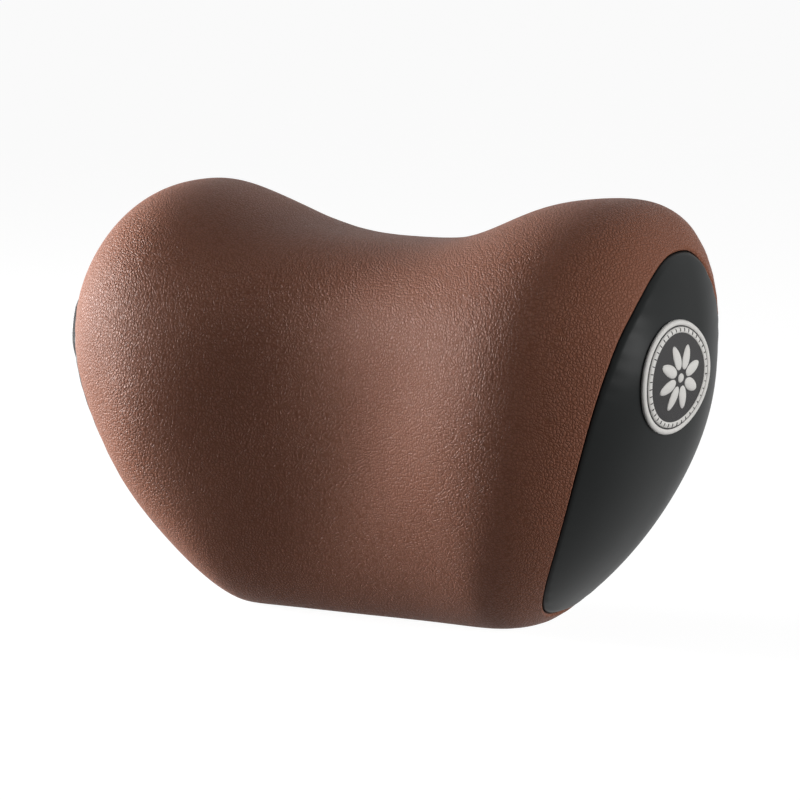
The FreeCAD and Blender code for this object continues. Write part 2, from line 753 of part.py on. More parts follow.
def charge_socket():
    """Reversible charging inlet: metal shell, tongue and a block on the back of the casing."""
    width, height = socket_slot
    block_end = module_back + foam_gap + socket_block[2]
    mouth = rear_y(socket_x, socket_z) - 0.5
    tube = slot(width, height, block_end, mouth)
    tube = tube.cut(slot(width - 2 * socket_wall, height - 2 * socket_wall, block_end, mouth + 1))
    block = box((socket_x - socket_block[0] / 2, socket_x + socket_block[0] / 2),
                (module_back, block_end), (socket_z - socket_block[1] / 2, socket_z + socket_block[1] / 2))
    block = block.common(rod(socket_x, socket_z, grommet_neck + 1, module_back, block_end))
    half_x, half_z = socket_tongue
    tongue = box((socket_x - half_x, socket_x + half_x), (block_end - 1, mouth - 1),
                 (socket_z - half_z, socket_z + half_z))
    return fused([block, tube, tongue])


def charge_grommet():
    axis = rod(socket_x, socket_z, grommet_flange, rear_seam_y, 100)
    flange = skin(trim_gap, trim_gap + 1.0, axis)
    neck_low = module_back + foam_gap + socket_block[2] + 0.3
    neck = rod(socket_x, socket_z, grommet_neck, neck_low, 100).common(pillow(trim_gap + 0.5))
    width, height = socket_slot
    return fused([flange, neck]).cut(slot(width + 0.6, height + 0.6, module_back, 100))


# ---- control pod -------------------------------------------------------------------------
def pod_normal():
    """Outward direction of the left end surface at the pod."""
    d = 4.0
    slope_y = (side_x(badge_y + d, badge_z) - side_x(badge_y - d, badge_z)) / (2 * d)
    slope_z = (side_x(badge_y, badge_z + d) - side_x(badge_y, badge_z - d)) / (2 * d)
    return V(-1, -slope_y, -slope_z).normalize()


def pod_place(shape):
    """Moves a shape made round the Z axis so that it stands on the left end surface."""
    placed = shape.copy()
    centre = V(-side_x(badge_y, badge_z), badge_y, badge_z)
    placed.Placement = FreeCAD.Placement(centre, FreeCAD.Rotation(V(0, 0, 1), pod_normal()))
    return placed


def ring(outer, inner, low, high):
    return Part.makeCylinder(outer, high - low, V(0, 0, low)).cut(
        Part.makeCylinder(inner, high - low + 2, V(0, 0, low - 1)))


def control_bezel():
    body = ring(bezel_radius, bezel_inner, -bezel_skirt, bezel_proud)
    top = [edge for edge in body.Edges if edge.BoundBox.ZMin > bezel_proud - 0.01 and edge.Length > 1]
    return pod_place(body.makeFillet(1.4, top))


def pod_light_ring():
    outer, inner, foot = light_ring
    return pod_place(ring(outer, inner, -foot, light_proud))


def power_button():
    cap = Part.makeCylinder(button_radius, button_rim, V(0, 0, button_proud - button_rim))
    cap = cap.makeFillet(0.8, [edge for edge in cap.Edges if edge.BoundBox.ZMin > button_proud - 0.01])
    stem_end = -bezel_skirt - stem_bite
    stem = Part.makeCylinder(stem_radius, button_proud - 1 - stem_end, V(0, 0, stem_end))
    return pod_place(cap.fuse(stem))


def switch_base():
    outer, inner, foot = light_ring
    disc = Part.makeCylinder(base_radius, base_thick, V(0, 0, pod_floor))
    wall = ring(outer, inner, -bezel_skirt - 1, -foot)
    depth = stem_bite + button_travel + 0.2
    pocket = Part.makeCylinder(stem_radius + stem_gap, depth, V(0, 0, -bezel_skirt - depth))
    return pod_place(fused([disc, wall]).cut(pocket))


# ---- strap and zip -----------------------------------------------------------------------
def back_band(x_range, half_height):
    return box(x_range, (0, 120), (strap_z - half_height, strap_z + half_height))


def back_strap():
    return skin(trim_gap, trim_gap + strap_thick, back_band((-strap_half, strap_half), strap_width / 2))


def strap_tabs():
    low, high = strap_half + trim_gap, strap_half + trim_gap + tab_length
    half = strap_width / 2 + tab_overhang
    return [skin(trim_gap, trim_gap + tab_thick, back_band(across, half))
            for across in ((low, high), (-high, -low))]


def strap_adjuster():
    half_x, half_z = adjuster_length / 2, strap_width / 2 + adjuster_overhang
    band = (strap_z - strap_width / 2, strap_z + strap_width / 2)
    outline = plate((adjuster_x - half_x, adjuster_x + half_x), (strap_z - half_z, strap_z + half_z),
                    4, 0, 120)
    slots = ((-half_x + adjuster_bar, -adjuster_bar / 2), (adjuster_bar / 2, half_x - adjuster_bar))
    for low, high in slots:
        outline = outline.cut(plate((adjuster_x + low, adjuster_x + high), band, 1.5, -1, 121))
    low = trim_gap + strap_thick + trim_gap
    return skin(low, low + adjuster_thick, outline)


def zip_frame(shape):
    """Places a shape made on the plane y = 0 onto the sloping back at the zip."""
    slope = (rear_y(0, zip_z + 3) - rear_y(0, zip_z - 3)) / 6
    placed = shape.copy()
    base = V(0, rear_y(0, zip_z, zip_top), zip_z)
    turn = FreeCAD.Rotation(V(1, 0, 0), -math.degrees(math.atan(slope)))
    placed.Placement = FreeCAD.Placement(base, turn).multiply(placed.Placement)
    return placed


def zip_tape():
    half = zip_half + tape_spare
    band = box((-half, half), (0, 120), (zip_z - tape_width / 2, zip_z + tape_width / 2))
    return skin(trim_gap, zip_top, band)


def zip_teeth():
    """Closed chain of teeth, a bar with a saw-tooth face, sunk to the tape where the back curves."""
    count = int(2 * zip_half / tooth_pitch)
    start = -count * tooth_pitch / 2
    face = [V(start, -1.5, 0)]
    for i in range(count):
        x = start + i * tooth_pitch
        face += [V(x, tooth_depth * 0.6, 0), V(x + tooth_pitch * 0.25, tooth_depth, 0),
                 V(x + tooth_pitch * 0.65, tooth_depth, 0), V(x + tooth_pitch * 0.9, tooth_depth * 0.6, 0)]
    face += [V(-start, tooth_depth * 0.6, 0), V(-start, -1.5, 0), V(start, -1.5, 0)]
    bar = Part.Face(Part.makePolygon(face)).extrude(V(0, 0, tooth_height))
    bar.translate(V(0, 0, -tooth_height / 2))
    return zip_frame(bar).cut(pillow(zip_top))


def zip_slider():
    """Slider at the closed end: a top plate, two side walls and two ears for the pull."""
    length, width, sheet = slider_size
    x = -zip_travel / 2
    low = tooth_depth + slider_gap
    top = box((x - length / 2, x + length / 2), (low, low + sheet), (-width / 2, width / 2))
    inner, outer = tooth_height / 2 + slider_gap, width / 2
    walls = [box((x - length / 2, x + length / 2), (slider_gap, low + sheet / 2), up)
             for up in ((-outer, -inner), (inner, outer))]
    ears = [box(xs, (low + sheet / 2, pin_out + 1.6), (-1.7, 1.7))
            for xs in ((x - ear_out, x - ear_in), (x + ear_in, x + ear_out))]
    bore = Part.makeCylinder(pull_pin_radius + pull_pin_gap, length,
                             V(x - length / 2, pin_out, 0), V(1, 0, 0))
    return zip_frame(fused([top] + walls + ears).cut(bore))


def zip_pull():
    """Flat pull that hangs straight down from a pin between the ears of the slider."""
    width, length, thick = pull_size
    half = width / 2
    pin = Part.makeCylinder(pull_pin_radius, 2 * ear_out, V(-ear_out, 0, 0), V(1, 0, 0))
    leaf = rounded_loop([(-half, -length), (half, -length), (half, 0.2), (-half, 0.2)], 1.2)
    blade = slab(leaf, -thick / 2, thick / 2)
    hole = Part.makeCylinder(1.2, 10, V(0, -5, -length + 4), V(0, 1, 0))
    pull = fused([pin, blade]).cut(hole)
    pull.translate(zip_frame(Part.Vertex(-zip_travel / 2, pin_out, 0)).Point)
    return pull


# ---- sizes worked out from the driving ones ----------------------------------------------
belly_flare, belly_round = 1.91, 0.606
front_flare, front_round = 5.4, 0.357
rear_square, front_top_square, front_low_square = 2.5, 2.3, 2.1
wheel_radius = gear_module * wheel_teeth / 2
wheel_x = wheel_radius + worm_pitch_radius
worm_lead = math.pi * gear_module
pressure_angle = math.radians(20)
tip_radius = wheel_radius + gear_module
root_radius = wheel_radius - gear_module - root_gap
thread_half = (worm_lead / 2 - gear_backlash) / 2
root_half = thread_half + 0.5
tip_half = thread_half - 0.82
worm_tip = worm_pitch_radius + gear_module
worm_root = worm_pitch_radius - gear_module - root_gap
floor_y = module_back - shell_wall
cover_back = cover_plate[0] + cover_plate[1]
disc_back = cover_plate[0] - disc_clear
disc_front = disc_back - disc_thick
head_base = disc_front - 1.5
head_seat = head_base - head_length + head_screw[1] + 2.0
liner_inner = -cover_thick - foam_gap - liner_thick
liner_margin = 8.0
pod_floor = -bezel_skirt - base_thick
zip_top = trim_gap + tape_thick
pin_out = tooth_depth + slider_gap + slider_size[2] + pull_pin_radius + 0.6
ear_in = pull_size[0] / 2 + 0.3
ear_out = ear_in + 1.0

parts = {
    "leather_cover": leather_cover(),
    "side_panel_right": side_panel(1),
    "side_panel_left": side_panel(-1),
    "rear_panel": rear_panel(),
    "side_badge": side_badge(),
    "foam_core": foam_core(),
    "mesh_liner": mesh_liner(),
    "rear_shell": rear_shell(),
    "front_frame": front_frame(),
    "frame_screws": frame_screws(),
    "chassis_plate": chassis_plate(),
    "chassis_screws": chassis_screws(),
    "gearbox_cover": gearbox_cover(),
    "gearbox_screws": gearbox_screws(),
    "shaft_bushes": shaft_bushes(),
    "worm_shaft": worm_shaft(),
    "worm_end_bush": worm_end_bush(),
    "motor_body": motor_body(),
    "motor_mount": motor_mount(),
    "motor_screws": motor_screws(),
    "battery_pack": battery_pack(),
    "main_board": main_board(),
    "board_components": board_components(),
    "board_screws": board_screws(),
    "wire_harness": wire_harness(),
    "charge_socket": charge_socket(),
    "charge_grommet": charge_grommet(),
    "control_bezel": control_bezel(),
    "light_ring": pod_light_ring(),
    "power_button": power_button(),
    "switch_base": switch_base(),
    "back_strap": back_strap(),
    "strap_tabs": strap_tabs(),
    "strap_adjuster": strap_adjuster(),
    "zip_tape": zip_tape(),
    "zip_teeth": zip_teeth(),
    "zip_slider": zip_slider(),
    "zip_pull": zip_pull(),
}
for side_name, side in (("right", 1), ("left", -1)):
    parts["worm_wheel_" + side_name] = worm_wheel(side)
    parts["output_shaft_" + side_name] = output_shaft(side)
    parts["kneading_disc_" + side_name] = kneading_disc(side)
    parts["disc_screw_" + side_name] = disc_screw_part(side)
    parts["head_pins_" + side_name] = head_pins(side)
    parts["head_screws_" + side_name] = head_screws(side)
    for number, centre in enumerate(head_centres(side), 1):
        parts[f"massage_head_{side_name}_{number}"] = massage_head(*centre)

os.makedirs("parts", exist_ok=True)
for name, shape in parts.items():
    whole = Part.makeCompound(shape) if isinstance(shape, list) else shape
    whole.exportStep(f"parts/{name}.step")
    state = "valid" if whole.isValid() else "INVALID"
    print(name, len(whole.Solids), "solids", round(whole.Volume), "mm3", state)
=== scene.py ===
# Shiatsu neck massager: its leather cover, end and back panels, badge, strap, zip and control pod.
# Shapes are worked out in millimetres and put into meshes in metres: +X to the right, +Y back, +Z up.
import bpy
import json
import math
import numpy as np
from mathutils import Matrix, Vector


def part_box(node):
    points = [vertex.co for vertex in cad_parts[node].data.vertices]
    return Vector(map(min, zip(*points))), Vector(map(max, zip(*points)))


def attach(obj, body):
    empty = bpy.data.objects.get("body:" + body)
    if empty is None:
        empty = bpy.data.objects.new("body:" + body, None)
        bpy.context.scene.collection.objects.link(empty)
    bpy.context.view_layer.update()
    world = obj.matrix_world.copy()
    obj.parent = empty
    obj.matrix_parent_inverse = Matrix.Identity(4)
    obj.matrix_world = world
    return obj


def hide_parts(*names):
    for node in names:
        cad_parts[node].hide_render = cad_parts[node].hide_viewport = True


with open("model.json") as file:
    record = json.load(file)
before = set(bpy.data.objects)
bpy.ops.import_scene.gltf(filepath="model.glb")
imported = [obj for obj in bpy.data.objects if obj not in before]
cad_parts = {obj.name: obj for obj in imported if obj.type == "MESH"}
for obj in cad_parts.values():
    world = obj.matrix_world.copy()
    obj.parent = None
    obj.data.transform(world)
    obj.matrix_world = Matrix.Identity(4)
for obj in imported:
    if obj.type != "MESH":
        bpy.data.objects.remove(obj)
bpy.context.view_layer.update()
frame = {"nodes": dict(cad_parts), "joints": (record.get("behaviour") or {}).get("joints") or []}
nodes = frame["nodes"]
mm = 0.001
print("frame loaded with", len(nodes), "nodes")


def cadBoxOf(node):
    # lowest and highest corner of a node in millimetres
    low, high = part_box(node)
    return np.array(low) / mm, np.array(high) / mm


# the pillow: one form that every cover panel and everything sewn to it follows
form = dict(
    halfWidth=150.0, waist=119.8, crown=193.6,            # to either end, fullest line, height of the lobes
    crownFlare=6.4, crownRound=0.562,                     # how far out the lobe tops stay full
    saddleDip=29.8, saddleReach=132.7, saddlePower=1.31,  # the low middle and how far it runs out
    bellyDrop=20.2, groundSink=5.0, bellyBlend=5.9,       # the narrow flat base
    bellyFlare=1.91, bellyRound=0.606,                    # how the underside rises to the ends
    frontDepth=55.3, lobeDepth=22.8, lobeReach=105.5, frontFlare=5.4, frontRound=0.357,
    backDepth=60.0, backFlare=4.5, lobeSetBack=15.0, setBackFlare=14.0, lean=0.04, depthShift=2.7,
    rearSquare=2.5, frontTopSquare=2.3, frontLowSquare=2.1,
    footSoft=1.6,                                         # rounding of the edge of the base
    middle=(0, 0, 100),                                   # a point inside, from which faces look outwards
    # side seam from the front, across and up: foot, middle, shoulder and top
    seam=((78.0, 0.0), (114.4, 55.0), (140.7, 138.0), (137.4, 166.0)),
)
rearSeam = cadBoxOf("rear_panel")[0][1]


def signedPower(value, power):
    return np.sign(value) * np.abs(value) ** power


def sectionReach(s, grow=0.0):
    # top, underside, front and back of the section at share s of the half width, by cosines and root curves
    a = np.abs(s)
    x = a * form["halfWidth"]
    side = (1 - a ** form["crownFlare"]) ** form["crownRound"]
    saddle = 0.5 + 0.5 * np.cos(np.pi * np.minimum(x / form["saddleReach"], 1) ** form["saddlePower"])
    top = form["waist"] + (form["crown"] - form["waist"]) * side - form["saddleDip"] * saddle
    rise = 1 - (1 - a ** form["bellyFlare"]) ** form["bellyRound"]
    belly = (form["waist"] + form["groundSink"] + form["bellyDrop"]) * rise - form["bellyDrop"]
    low = 0.5 * (belly + np.hypot(belly, form["bellyBlend"])) - form["groundSink"]
    lobe = 0.5 - 0.5 * np.cos(np.pi * np.minimum(x / form["lobeReach"], 1))
    fullness = (1 - a ** form["frontFlare"]) ** form["frontRound"]
    front = (form["frontDepth"] + form["lobeDepth"] * lobe) * fullness
    back = form["backDepth"] * np.sqrt(1 - a ** form["backFlare"])
    return top + grow, low - grow, front + grow, back + grow


def centreDepth(z, s):
    # how far back the middle of a section stands at height z: an even lean plus the lean of the lobe tops
    lobes = form["lobeSetBack"] * s ** 2 * (np.maximum(z, 0) / form["crown"]) ** 2
    lobes *= 1 - np.abs(s) ** form["setBackFlare"]
    return form["depthShift"] + form["lean"] * (z - 100) + lobes


def formPoint(s, t):
    # superellipse section: depth = reach x cos(t)^(2/p) and height = reach x sin(t)^(2/p), p by quarter
    s, t = np.broadcast_arrays(s, t)
    top, low, front, back = sectionReach(s)
    across, up = np.cos(t), np.sin(t)
    lowSquare = np.where(up >= 0, form["frontTopSquare"], form["frontLowSquare"])
    square = np.where(across >= 0, form["rearSquare"], lowSquare)
    y = np.where(across >= 0, back, front) * signedPower(across, 2 / square)
    half = np.where(up >= 0, top - form["waist"], form["waist"] - low)
    z = form["waist"] + half * signedPower(up, 2 / square)
    return np.stack([s * form["halfWidth"], y + centreDepth(z, s), z], -1)


def bisect(test, low, high, like):
    # halves the range again and again towards where test turns from negative to positive
    low, high = np.full(np.shape(like), float(low)), np.full(np.shape(like), float(high))
    for step in range(44):
        middle = (low + high) / 2
        before = test(middle) < 0
        low, high = np.where(before, middle, low), np.where(before, high, middle)
    return (low + high) / 2


def seamX(z):
    # side seam from the front: a circle through its first three points, then a tighter one that leaves it
    # without a corner and passes through the fourth
    foot, middle, shoulder, top = np.array(form["seam"])
    sides = 2 * np.array([middle - foot, shoulder - foot])
    centre = np.linalg.solve(sides, [middle @ middle - foot @ foot, shoulder @ shoulder - foot @ foot])
    radius = np.linalg.norm(foot - centre)
    outwards, rise = (shoulder - centre) / radius, top - shoulder
    topRadius = -(rise @ rise) / (2 * rise @ outwards)
    topCentre = shoulder - outwards * topRadius
    below = centre[0] + np.sqrt(np.maximum(radius ** 2 - (z - centre[1]) ** 2, 0))
    above = topCentre[0] + np.sqrt(np.maximum(topRadius ** 2 - (z - topCentre[1]) ** 2, 0))
    return np.where(z < shoulder[1], below, above)


def seamShare(t):
    # share of the half width at which the section point at turn t lies on the side seam
    def past(s):
        point = formPoint(s, t)
        return point[..., 0] - seamX(point[..., 2])
    return bisect(past, 0.3, 0.999, t)


def bodyPoint(u, t):
    # point between the side seams; u runs from -1 at the left seam to 1 at the right one
    return formPoint(u * seamShare(t), t)


def rearSeamTurn(u, side):
    # turn, above or below the waist at the back, at which the form crosses the depth of the rear seam
    def infront(t):
        return rearSeam - bodyPoint(u, side * t)[..., 1]
    return side * bisect(infront, 0.0, math.pi / 2, u)


def sideX(y, z):
    # distance of the end surface from the middle: the share where |depth|^p + |height|^p reaches 1
    def outside(s):
        top, low, front, back = sectionReach(s)
        depth = y - centreDepth(z, s)
        up = (z - form["waist"]) / np.where(z > form["waist"], top - form["waist"], form["waist"] - low)
        lowSquare = np.where(up >= 0, form["frontTopSquare"], form["frontLowSquare"])
        square = np.where(depth >= 0, form["rearSquare"], lowSquare)
        return np.abs(depth / np.where(depth > 0, back, front)) ** square + np.abs(up) ** square - 1
    return form["halfWidth"] * bisect(outside, 0.5, 0.99999, y)


def backY(x, z, grow):
    # depth of the back at a point seen from behind, grown outwards
    s = x / (form["halfWidth"] + grow)
    top, low, front, back = sectionReach(s, grow)
    up = np.abs(z - form["waist"]) / np.where(z > form["waist"], top - form["waist"], form["waist"] - low)
    square = form["rearSquare"]
    return back * (1 - up ** square) ** (1 / square) + centreDepth(z, s)


# meshes: a shape is a dictionary of vertices in millimetres, faces and values at the vertices
def gridShape(points, closedRows=False, closedColumns=False, caps=False, uv=None, centre=None, **values):
    # quads between neighbours on a grid of points; caps close the first and last row with one face each
    rows, columns = points.shape[:2]
    index = np.arange(rows * columns).reshape(rows, columns)
    ends = [index[0], index[-1][::-1]] if caps else []
    if closedRows:
        index = np.vstack([index, index[:1]])
    if closedColumns:
        index = np.hstack([index, index[:, :1]])
    quads = np.stack([index[:-1, :-1], index[1:, :-1], index[1:, 1:], index[:-1, 1:]], -1).reshape(-1, 4)
    vertices = points.reshape(-1, 3)
    centre = vertices.mean(0) if centre is None else np.array(centre)
    corners = vertices[quads] - centre
    if np.sum(corners[:, 0] * np.cross(corners[:, 1], corners[:, 2])) < 0:
        quads = quads[:, ::-1]
        ends = [end[::-1] for end in ends]
    if uv is None:
        uv = np.zeros((rows, columns, 2))
    return dict(vertices=vertices, quads=quads, caps=ends, uv=uv.reshape(-1, 2),
                values={key: np.ravel(value) for key, value in values.items()})


def joined(shapes):
    # one shape from several, faces counted on from the vertices before them
    starts = np.cumsum([0] + [len(shape["vertices"]) for shape in shapes[:-1]])
    return dict(
        vertices=np.concatenate([shape["vertices"] for shape in shapes]),
        quads=np.concatenate([shape["quads"] + start for shape, start in zip(shapes, starts)]),
        caps=[cap + start for shape, start in zip(shapes, starts) for cap in shape["caps"]],
        uv=np.concatenate([shape["uv"] for shape in shapes]),
        values={key: np.concatenate([shape["values"][key] for shape in shapes])
                for key in shapes[0]["values"]},
    )


def makePiece(name, shape, material, body, replaced=()):
    # puts a shape into a mesh object with its material, UV map and vertex values, riding on a body
    mesh = bpy.data.meshes.new(name)
    corners = np.concatenate([shape["quads"].ravel()] + shape["caps"]).astype(np.int32)
    counts = np.array([4] * len(shape["quads"]) + [len(cap) for cap in shape["caps"]])
    mesh.vertices.add(len(shape["vertices"]))
    mesh.vertices.foreach_set("co", (shape["vertices"] * mm).astype(np.float32).ravel())
    mesh.loops.add(len(corners))
    mesh.loops.foreach_set("vertex_index", corners)
    mesh.polygons.add(len(counts))
    mesh.polygons.foreach_set("loop_start", (np.cumsum(counts) - counts).astype(np.int32))
    mesh.polygons.foreach_set("use_smooth", np.ones(len(counts), bool))
    mesh.update(calc_edges=True)
    mesh.validate()
    layer = mesh.uv_layers.new(name="UVMap")
    layer.data.foreach_set("uv", shape["uv"][corners].astype(np.float32).ravel())
    for key, value in shape["values"].items():
        mesh.attributes.new(key, "FLOAT", "POINT").data.foreach_set("value", value.astype(np.float32))
    mesh.materials.append(material)
    piece = bpy.data.objects.new(name, mesh)
    bpy.context.scene.collection.objects.link(piece)
    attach(piece, body)
    if replaced:
        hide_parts(*replaced)
    return piece


def thicken(piece, thickness):
    # gives a cover panel its wall, inwards
    wall = piece.modifiers.new("wall", "SOLIDIFY")
    wall.thickness = thickness * mm
    wall.offset = -1


def gridNormals(points, closedColumns=False):
    # cross product of the two grid directions, made to point away from the middle of the pillow
    alongRows = np.gradient(points, axis=0)
    if closedColumns:
        alongColumns = np.roll(points, -1, 1) - np.roll(points, 1, 1)
    else:
        alongColumns = np.gradient(points, axis=1)
    normals = np.cross(alongRows, alongColumns)
    normals /= np.maximum(np.linalg.norm(normals, axis=-1, keepdims=True), 1e-9)
    outwards = np.sum(normals * (points - form["middle"]))
    return normals if outwards > 0 else -normals


def walked(points, axis):
    # distance along the grid from its first line and to its last one
    steps = np.linalg.norm(np.diff(points, axis=axis), axis=-1)
    start = np.zeros_like(steps.take([0], axis))
    distance = np.concatenate([start, np.cumsum(steps, axis)], axis)
    return distance, distance.take([-1], axis) - distance


def evenly(points, shares):
    # grid values 0 to 1 at the given shares of the length of a line of points
    distance = walked(points, 0)[0]
    return np.interp(shares, distance / distance[-1], np.linspace(0, 1, len(points)))


def graded(length, step, near):
    # shares of a length, close together near both ends and one step apart between
    near = np.array(near)
    inner = np.linspace(near[-1], length - near[-1], round((length - 2 * near[-1]) / step) + 1)
    return np.concatenate([near[:-1], inner, (length - near[:-1])[::-1]]) / length


# how the panels are sewn: they roll in at a seam, and cloth puckers beside the thread
sewing = dict(
    rollDepth=1.5, rollWidth=3.2, puckerDepth=0.16, puckerReach=5.0, puckerPitch=7.5, swell=0.45, wall=2.6,
    near=(0.0, 0.3, 0.7, 1.2, 1.8, 2.5, 3.3),             # distances from a seam of the rows nearest to it
    step=1.75, samples=400,                               # distance between the other rows, points measured
    girth=330, frontLength=350, rearLength=170,           # rough lengths of the grids, which set their rows
)
# the right lobe is packed a little fuller than the left: a bell over its inner shoulder, across, deep and up
packing = dict(height=3.6, middle=(74, 0, 184), reach=(27, 32, 22))
# end panels: columns round them, how rings crowd to the pole, rough length and step, share at the last ring
ends = dict(columns=280, crowding=2.4, length=120, step=1.6, last=0.985)


def sewn(points, distance, closedColumns=False):
    # moves the panel in at its seams by depth x (1 - distance / width)^2, and lets the leather swell softly
    x, y, z = points[..., 0], points[..., 1], points[..., 2]
    roll = sewing["rollDepth"] * np.clip(1 - distance / sewing["rollWidth"], 0, 1) ** 2
    turn = 2 * np.pi / sewing["puckerPitch"]
    pucker = np.sin(turn * (z + 0.6 * x)) * np.exp(-distance / sewing["puckerReach"])
    field = np.sin(0.047 * x + 1.3) * np.sin(0.053 * z + 0.4) + 0.6 * np.sin(0.081 * x - 0.067 * z + 2.1)
    field *= np.clip((30 - y) / 40, 0, 1) * np.clip((142 - np.abs(x)) / 30, 0, 1)
    fromBell = (points - packing["middle"]) / packing["reach"]
    packed = packing["height"] * np.exp(-np.sum(fromBell ** 2, -1))
    move = sewing["puckerDepth"] * pucker * np.clip(distance / 2, 0, 1)
    move = move + sewing["swell"] * field + packed - roll
    points = points + gridNormals(points, closedColumns) * move[..., None]
    points[..., 2] = 0.5 * (points[..., 2] + np.hypot(points[..., 2], form["footSoft"]))
    return points


def middlePanel(rear):
    # the leather in front or the cloth behind: a grid between both side seams and both rear seams
    line = np.linspace(0, 1, sewing["samples"])
    belt = bodyPoint(2 * line - 1, np.full(len(line), math.pi))
    u = (2 * evenly(belt, graded(sewing["girth"], sewing["step"], sewing["near"])) - 1)[:, None]
    above, below = rearSeamTurn(u, 1), rearSeamTurn(u, -1)
    start, end = (below, above) if rear else (above, below + 2 * math.pi)
    length = sewing["rearLength" if rear else "frontLength"]
    probe = bodyPoint(np.full(len(line), 0.55), start.min() + (end.max() - start.min()) * line)
    rows = evenly(probe, graded(length, sewing["step"], sewing["near"]))[None, :]
    points = bodyPoint(u, start + (end - start) * rows)
    distance = np.minimum(np.minimum(*walked(points, 0)), np.minimum(*walked(points, 1)))
    return sewn(points, distance), distance


def endPanel(side, hole):
    # an end from its seam inwards: 1 - s = (1 - s at the seam) x (1 - w)^crowding, for even rings
    t = np.linspace(0, 2 * math.pi, ends["columns"] + 1)[:-1]
    atSeam = seamShare(t)

    def ringPoint(w):
        s = 1 - (1 - atSeam) * (1 - w) ** ends["crowding"]
        return formPoint(s, t) * np.array([side, 1, 1])

    shares = graded(ends["length"], ends["step"], sewing["near"])[:, None]
    last = ends["last"]
    if hole is not None:
        centre, axis, radius = hole

        def inside(w):
            arm = ringPoint(w) - centre
            flat = arm - np.sum(arm * axis, -1, keepdims=True) * axis
            return radius - np.linalg.norm(flat, axis=-1)
        last = bisect(inside, 0.0, ends["last"], t)
    points = ringPoint(shares * last)
    fromSeam, toEnd = walked(points, 0)
    distance = fromSeam if hole is None else np.minimum(fromSeam, toEnd)
    return sewn(points, distance, True), distance


# materials
def linear(colour):
    # sRGB to linear: values to 0.04045 divided by 12.92, above that ((c + 0.055) / 1.055) ^ 2.4
    parts = np.array([int(colour[i:i + 2], 16) / 255 for i in (1, 3, 5)])
    parts = np.where(parts <= 0.04045, parts / 12.92, ((parts + 0.055) / 1.055) ** 2.4)
    return (*parts, 1.0)


def shownSocket(sockets, key):
    # the socket in use under that name, because a Mix node has one for each kind of value
    return sockets[key] if isinstance(key, int) else next(s for s in sockets if s.name == key and s.enabled)


def addNode(tree, kind, inputs=None, **settings):
    # adds a node with its settings; an input is a value, a hex colour, a node's first output or a socket
    node = tree.nodes.new(kind)
    for key, value in settings.items():
        setattr(node, key, value)
    for key, value in (inputs or {}).items():
        socket = shownSocket(node.inputs, key)
        if isinstance(value, bpy.types.Node):
            value = next(output for output in value.outputs if output.enabled)
        if isinstance(value, bpy.types.NodeSocket):
            tree.links.new(value, socket)
        else:
            socket.default_value = linear(value) if isinstance(value, str) else value
    return node


def newMaterial(name, **shaderValues):
    # a material with its shader, and the place of the surface in metres
    material = bpy.data.materials.new(name)
    material.use_nodes = True
    tree = material.node_tree
    shader = tree.nodes["Principled BSDF"]
    for key, value in shaderValues.items():
        shader.inputs[key].default_value = value
    coords = addNode(tree, "ShaderNodeTexCoord")
    return material, tree, shader, coords


def finishShader(tree, shader, colour=None, roughness=None, height=None, relief=0.0):
    # links what varies over the surface; relief is how many millimetres a height of 0 to 1 stands for
    if colour is not None:
        tree.links.new(colour.outputs[2] if colour.bl_idname == "ShaderNodeMix" else colour.outputs[0],
                       shader.inputs["Base Color"])
    if roughness is not None:
        tree.links.new(roughness.outputs[0], shader.inputs["Roughness"])
    if height is not None:
        bump = addNode(tree, "ShaderNodeBump", {"Height": height, "Distance": relief * mm, "Strength": 1.0})
        tree.links.new(bump.outputs["Normal"], shader.inputs["Normal"])


def mixed(tree, factor, low, high):
    # a colour between two
    return addNode(tree, "ShaderNodeMix", {"Factor": factor, "A": low, "B": high}, data_type="RGBA")


def noise(tree, place, size, detail):
    # soft noise with patches of a size in millimetres
    return addNode(tree, "ShaderNodeTexNoise", {"Vector": place, "Scale": 1 / (size * mm), "Detail": detail})


def ramp(tree, value, start, end):
    # 0 to 1 between two values, smooth at both
    return addNode(tree, "ShaderNodeMapRange", {"Value": value, "From Min": start, "From Max": end},
                   interpolation_type="SMOOTHSTEP")


def spread(tree, value, low, high):
    # 0 to 1 onto low to high
    return addNode(tree, "ShaderNodeMapRange", {"Value": value, "To Min": low, "To Max": high})


def seamShade(tree, colour, paintedShade, start, end):
    # painted shade: darkens the bottom of the groove at a seam, by each vertex's distance from it
    seam = addNode(tree, "ShaderNodeAttribute", attribute_name="seamDistance")
    return mixed(tree, ramp(tree, seam.outputs["Fac"], start, end), paintedShade, colour)


# pebbled leather with a soft polyurethane finish: brown, half matt, round grain, paler where it is rubbed;
# sizes of the pebbles, of their unevenness and of its patches, of pores and of rubbed patches
leather = dict(
    crease="#784B38", skin="#875643", worn="#8F604D", seamPaintedShade="#150A07",
    pebble=1.45, drift=0.6, driftSize=3, fine=0.5, patch=38, relief=0.36, roughness=0.46,
)


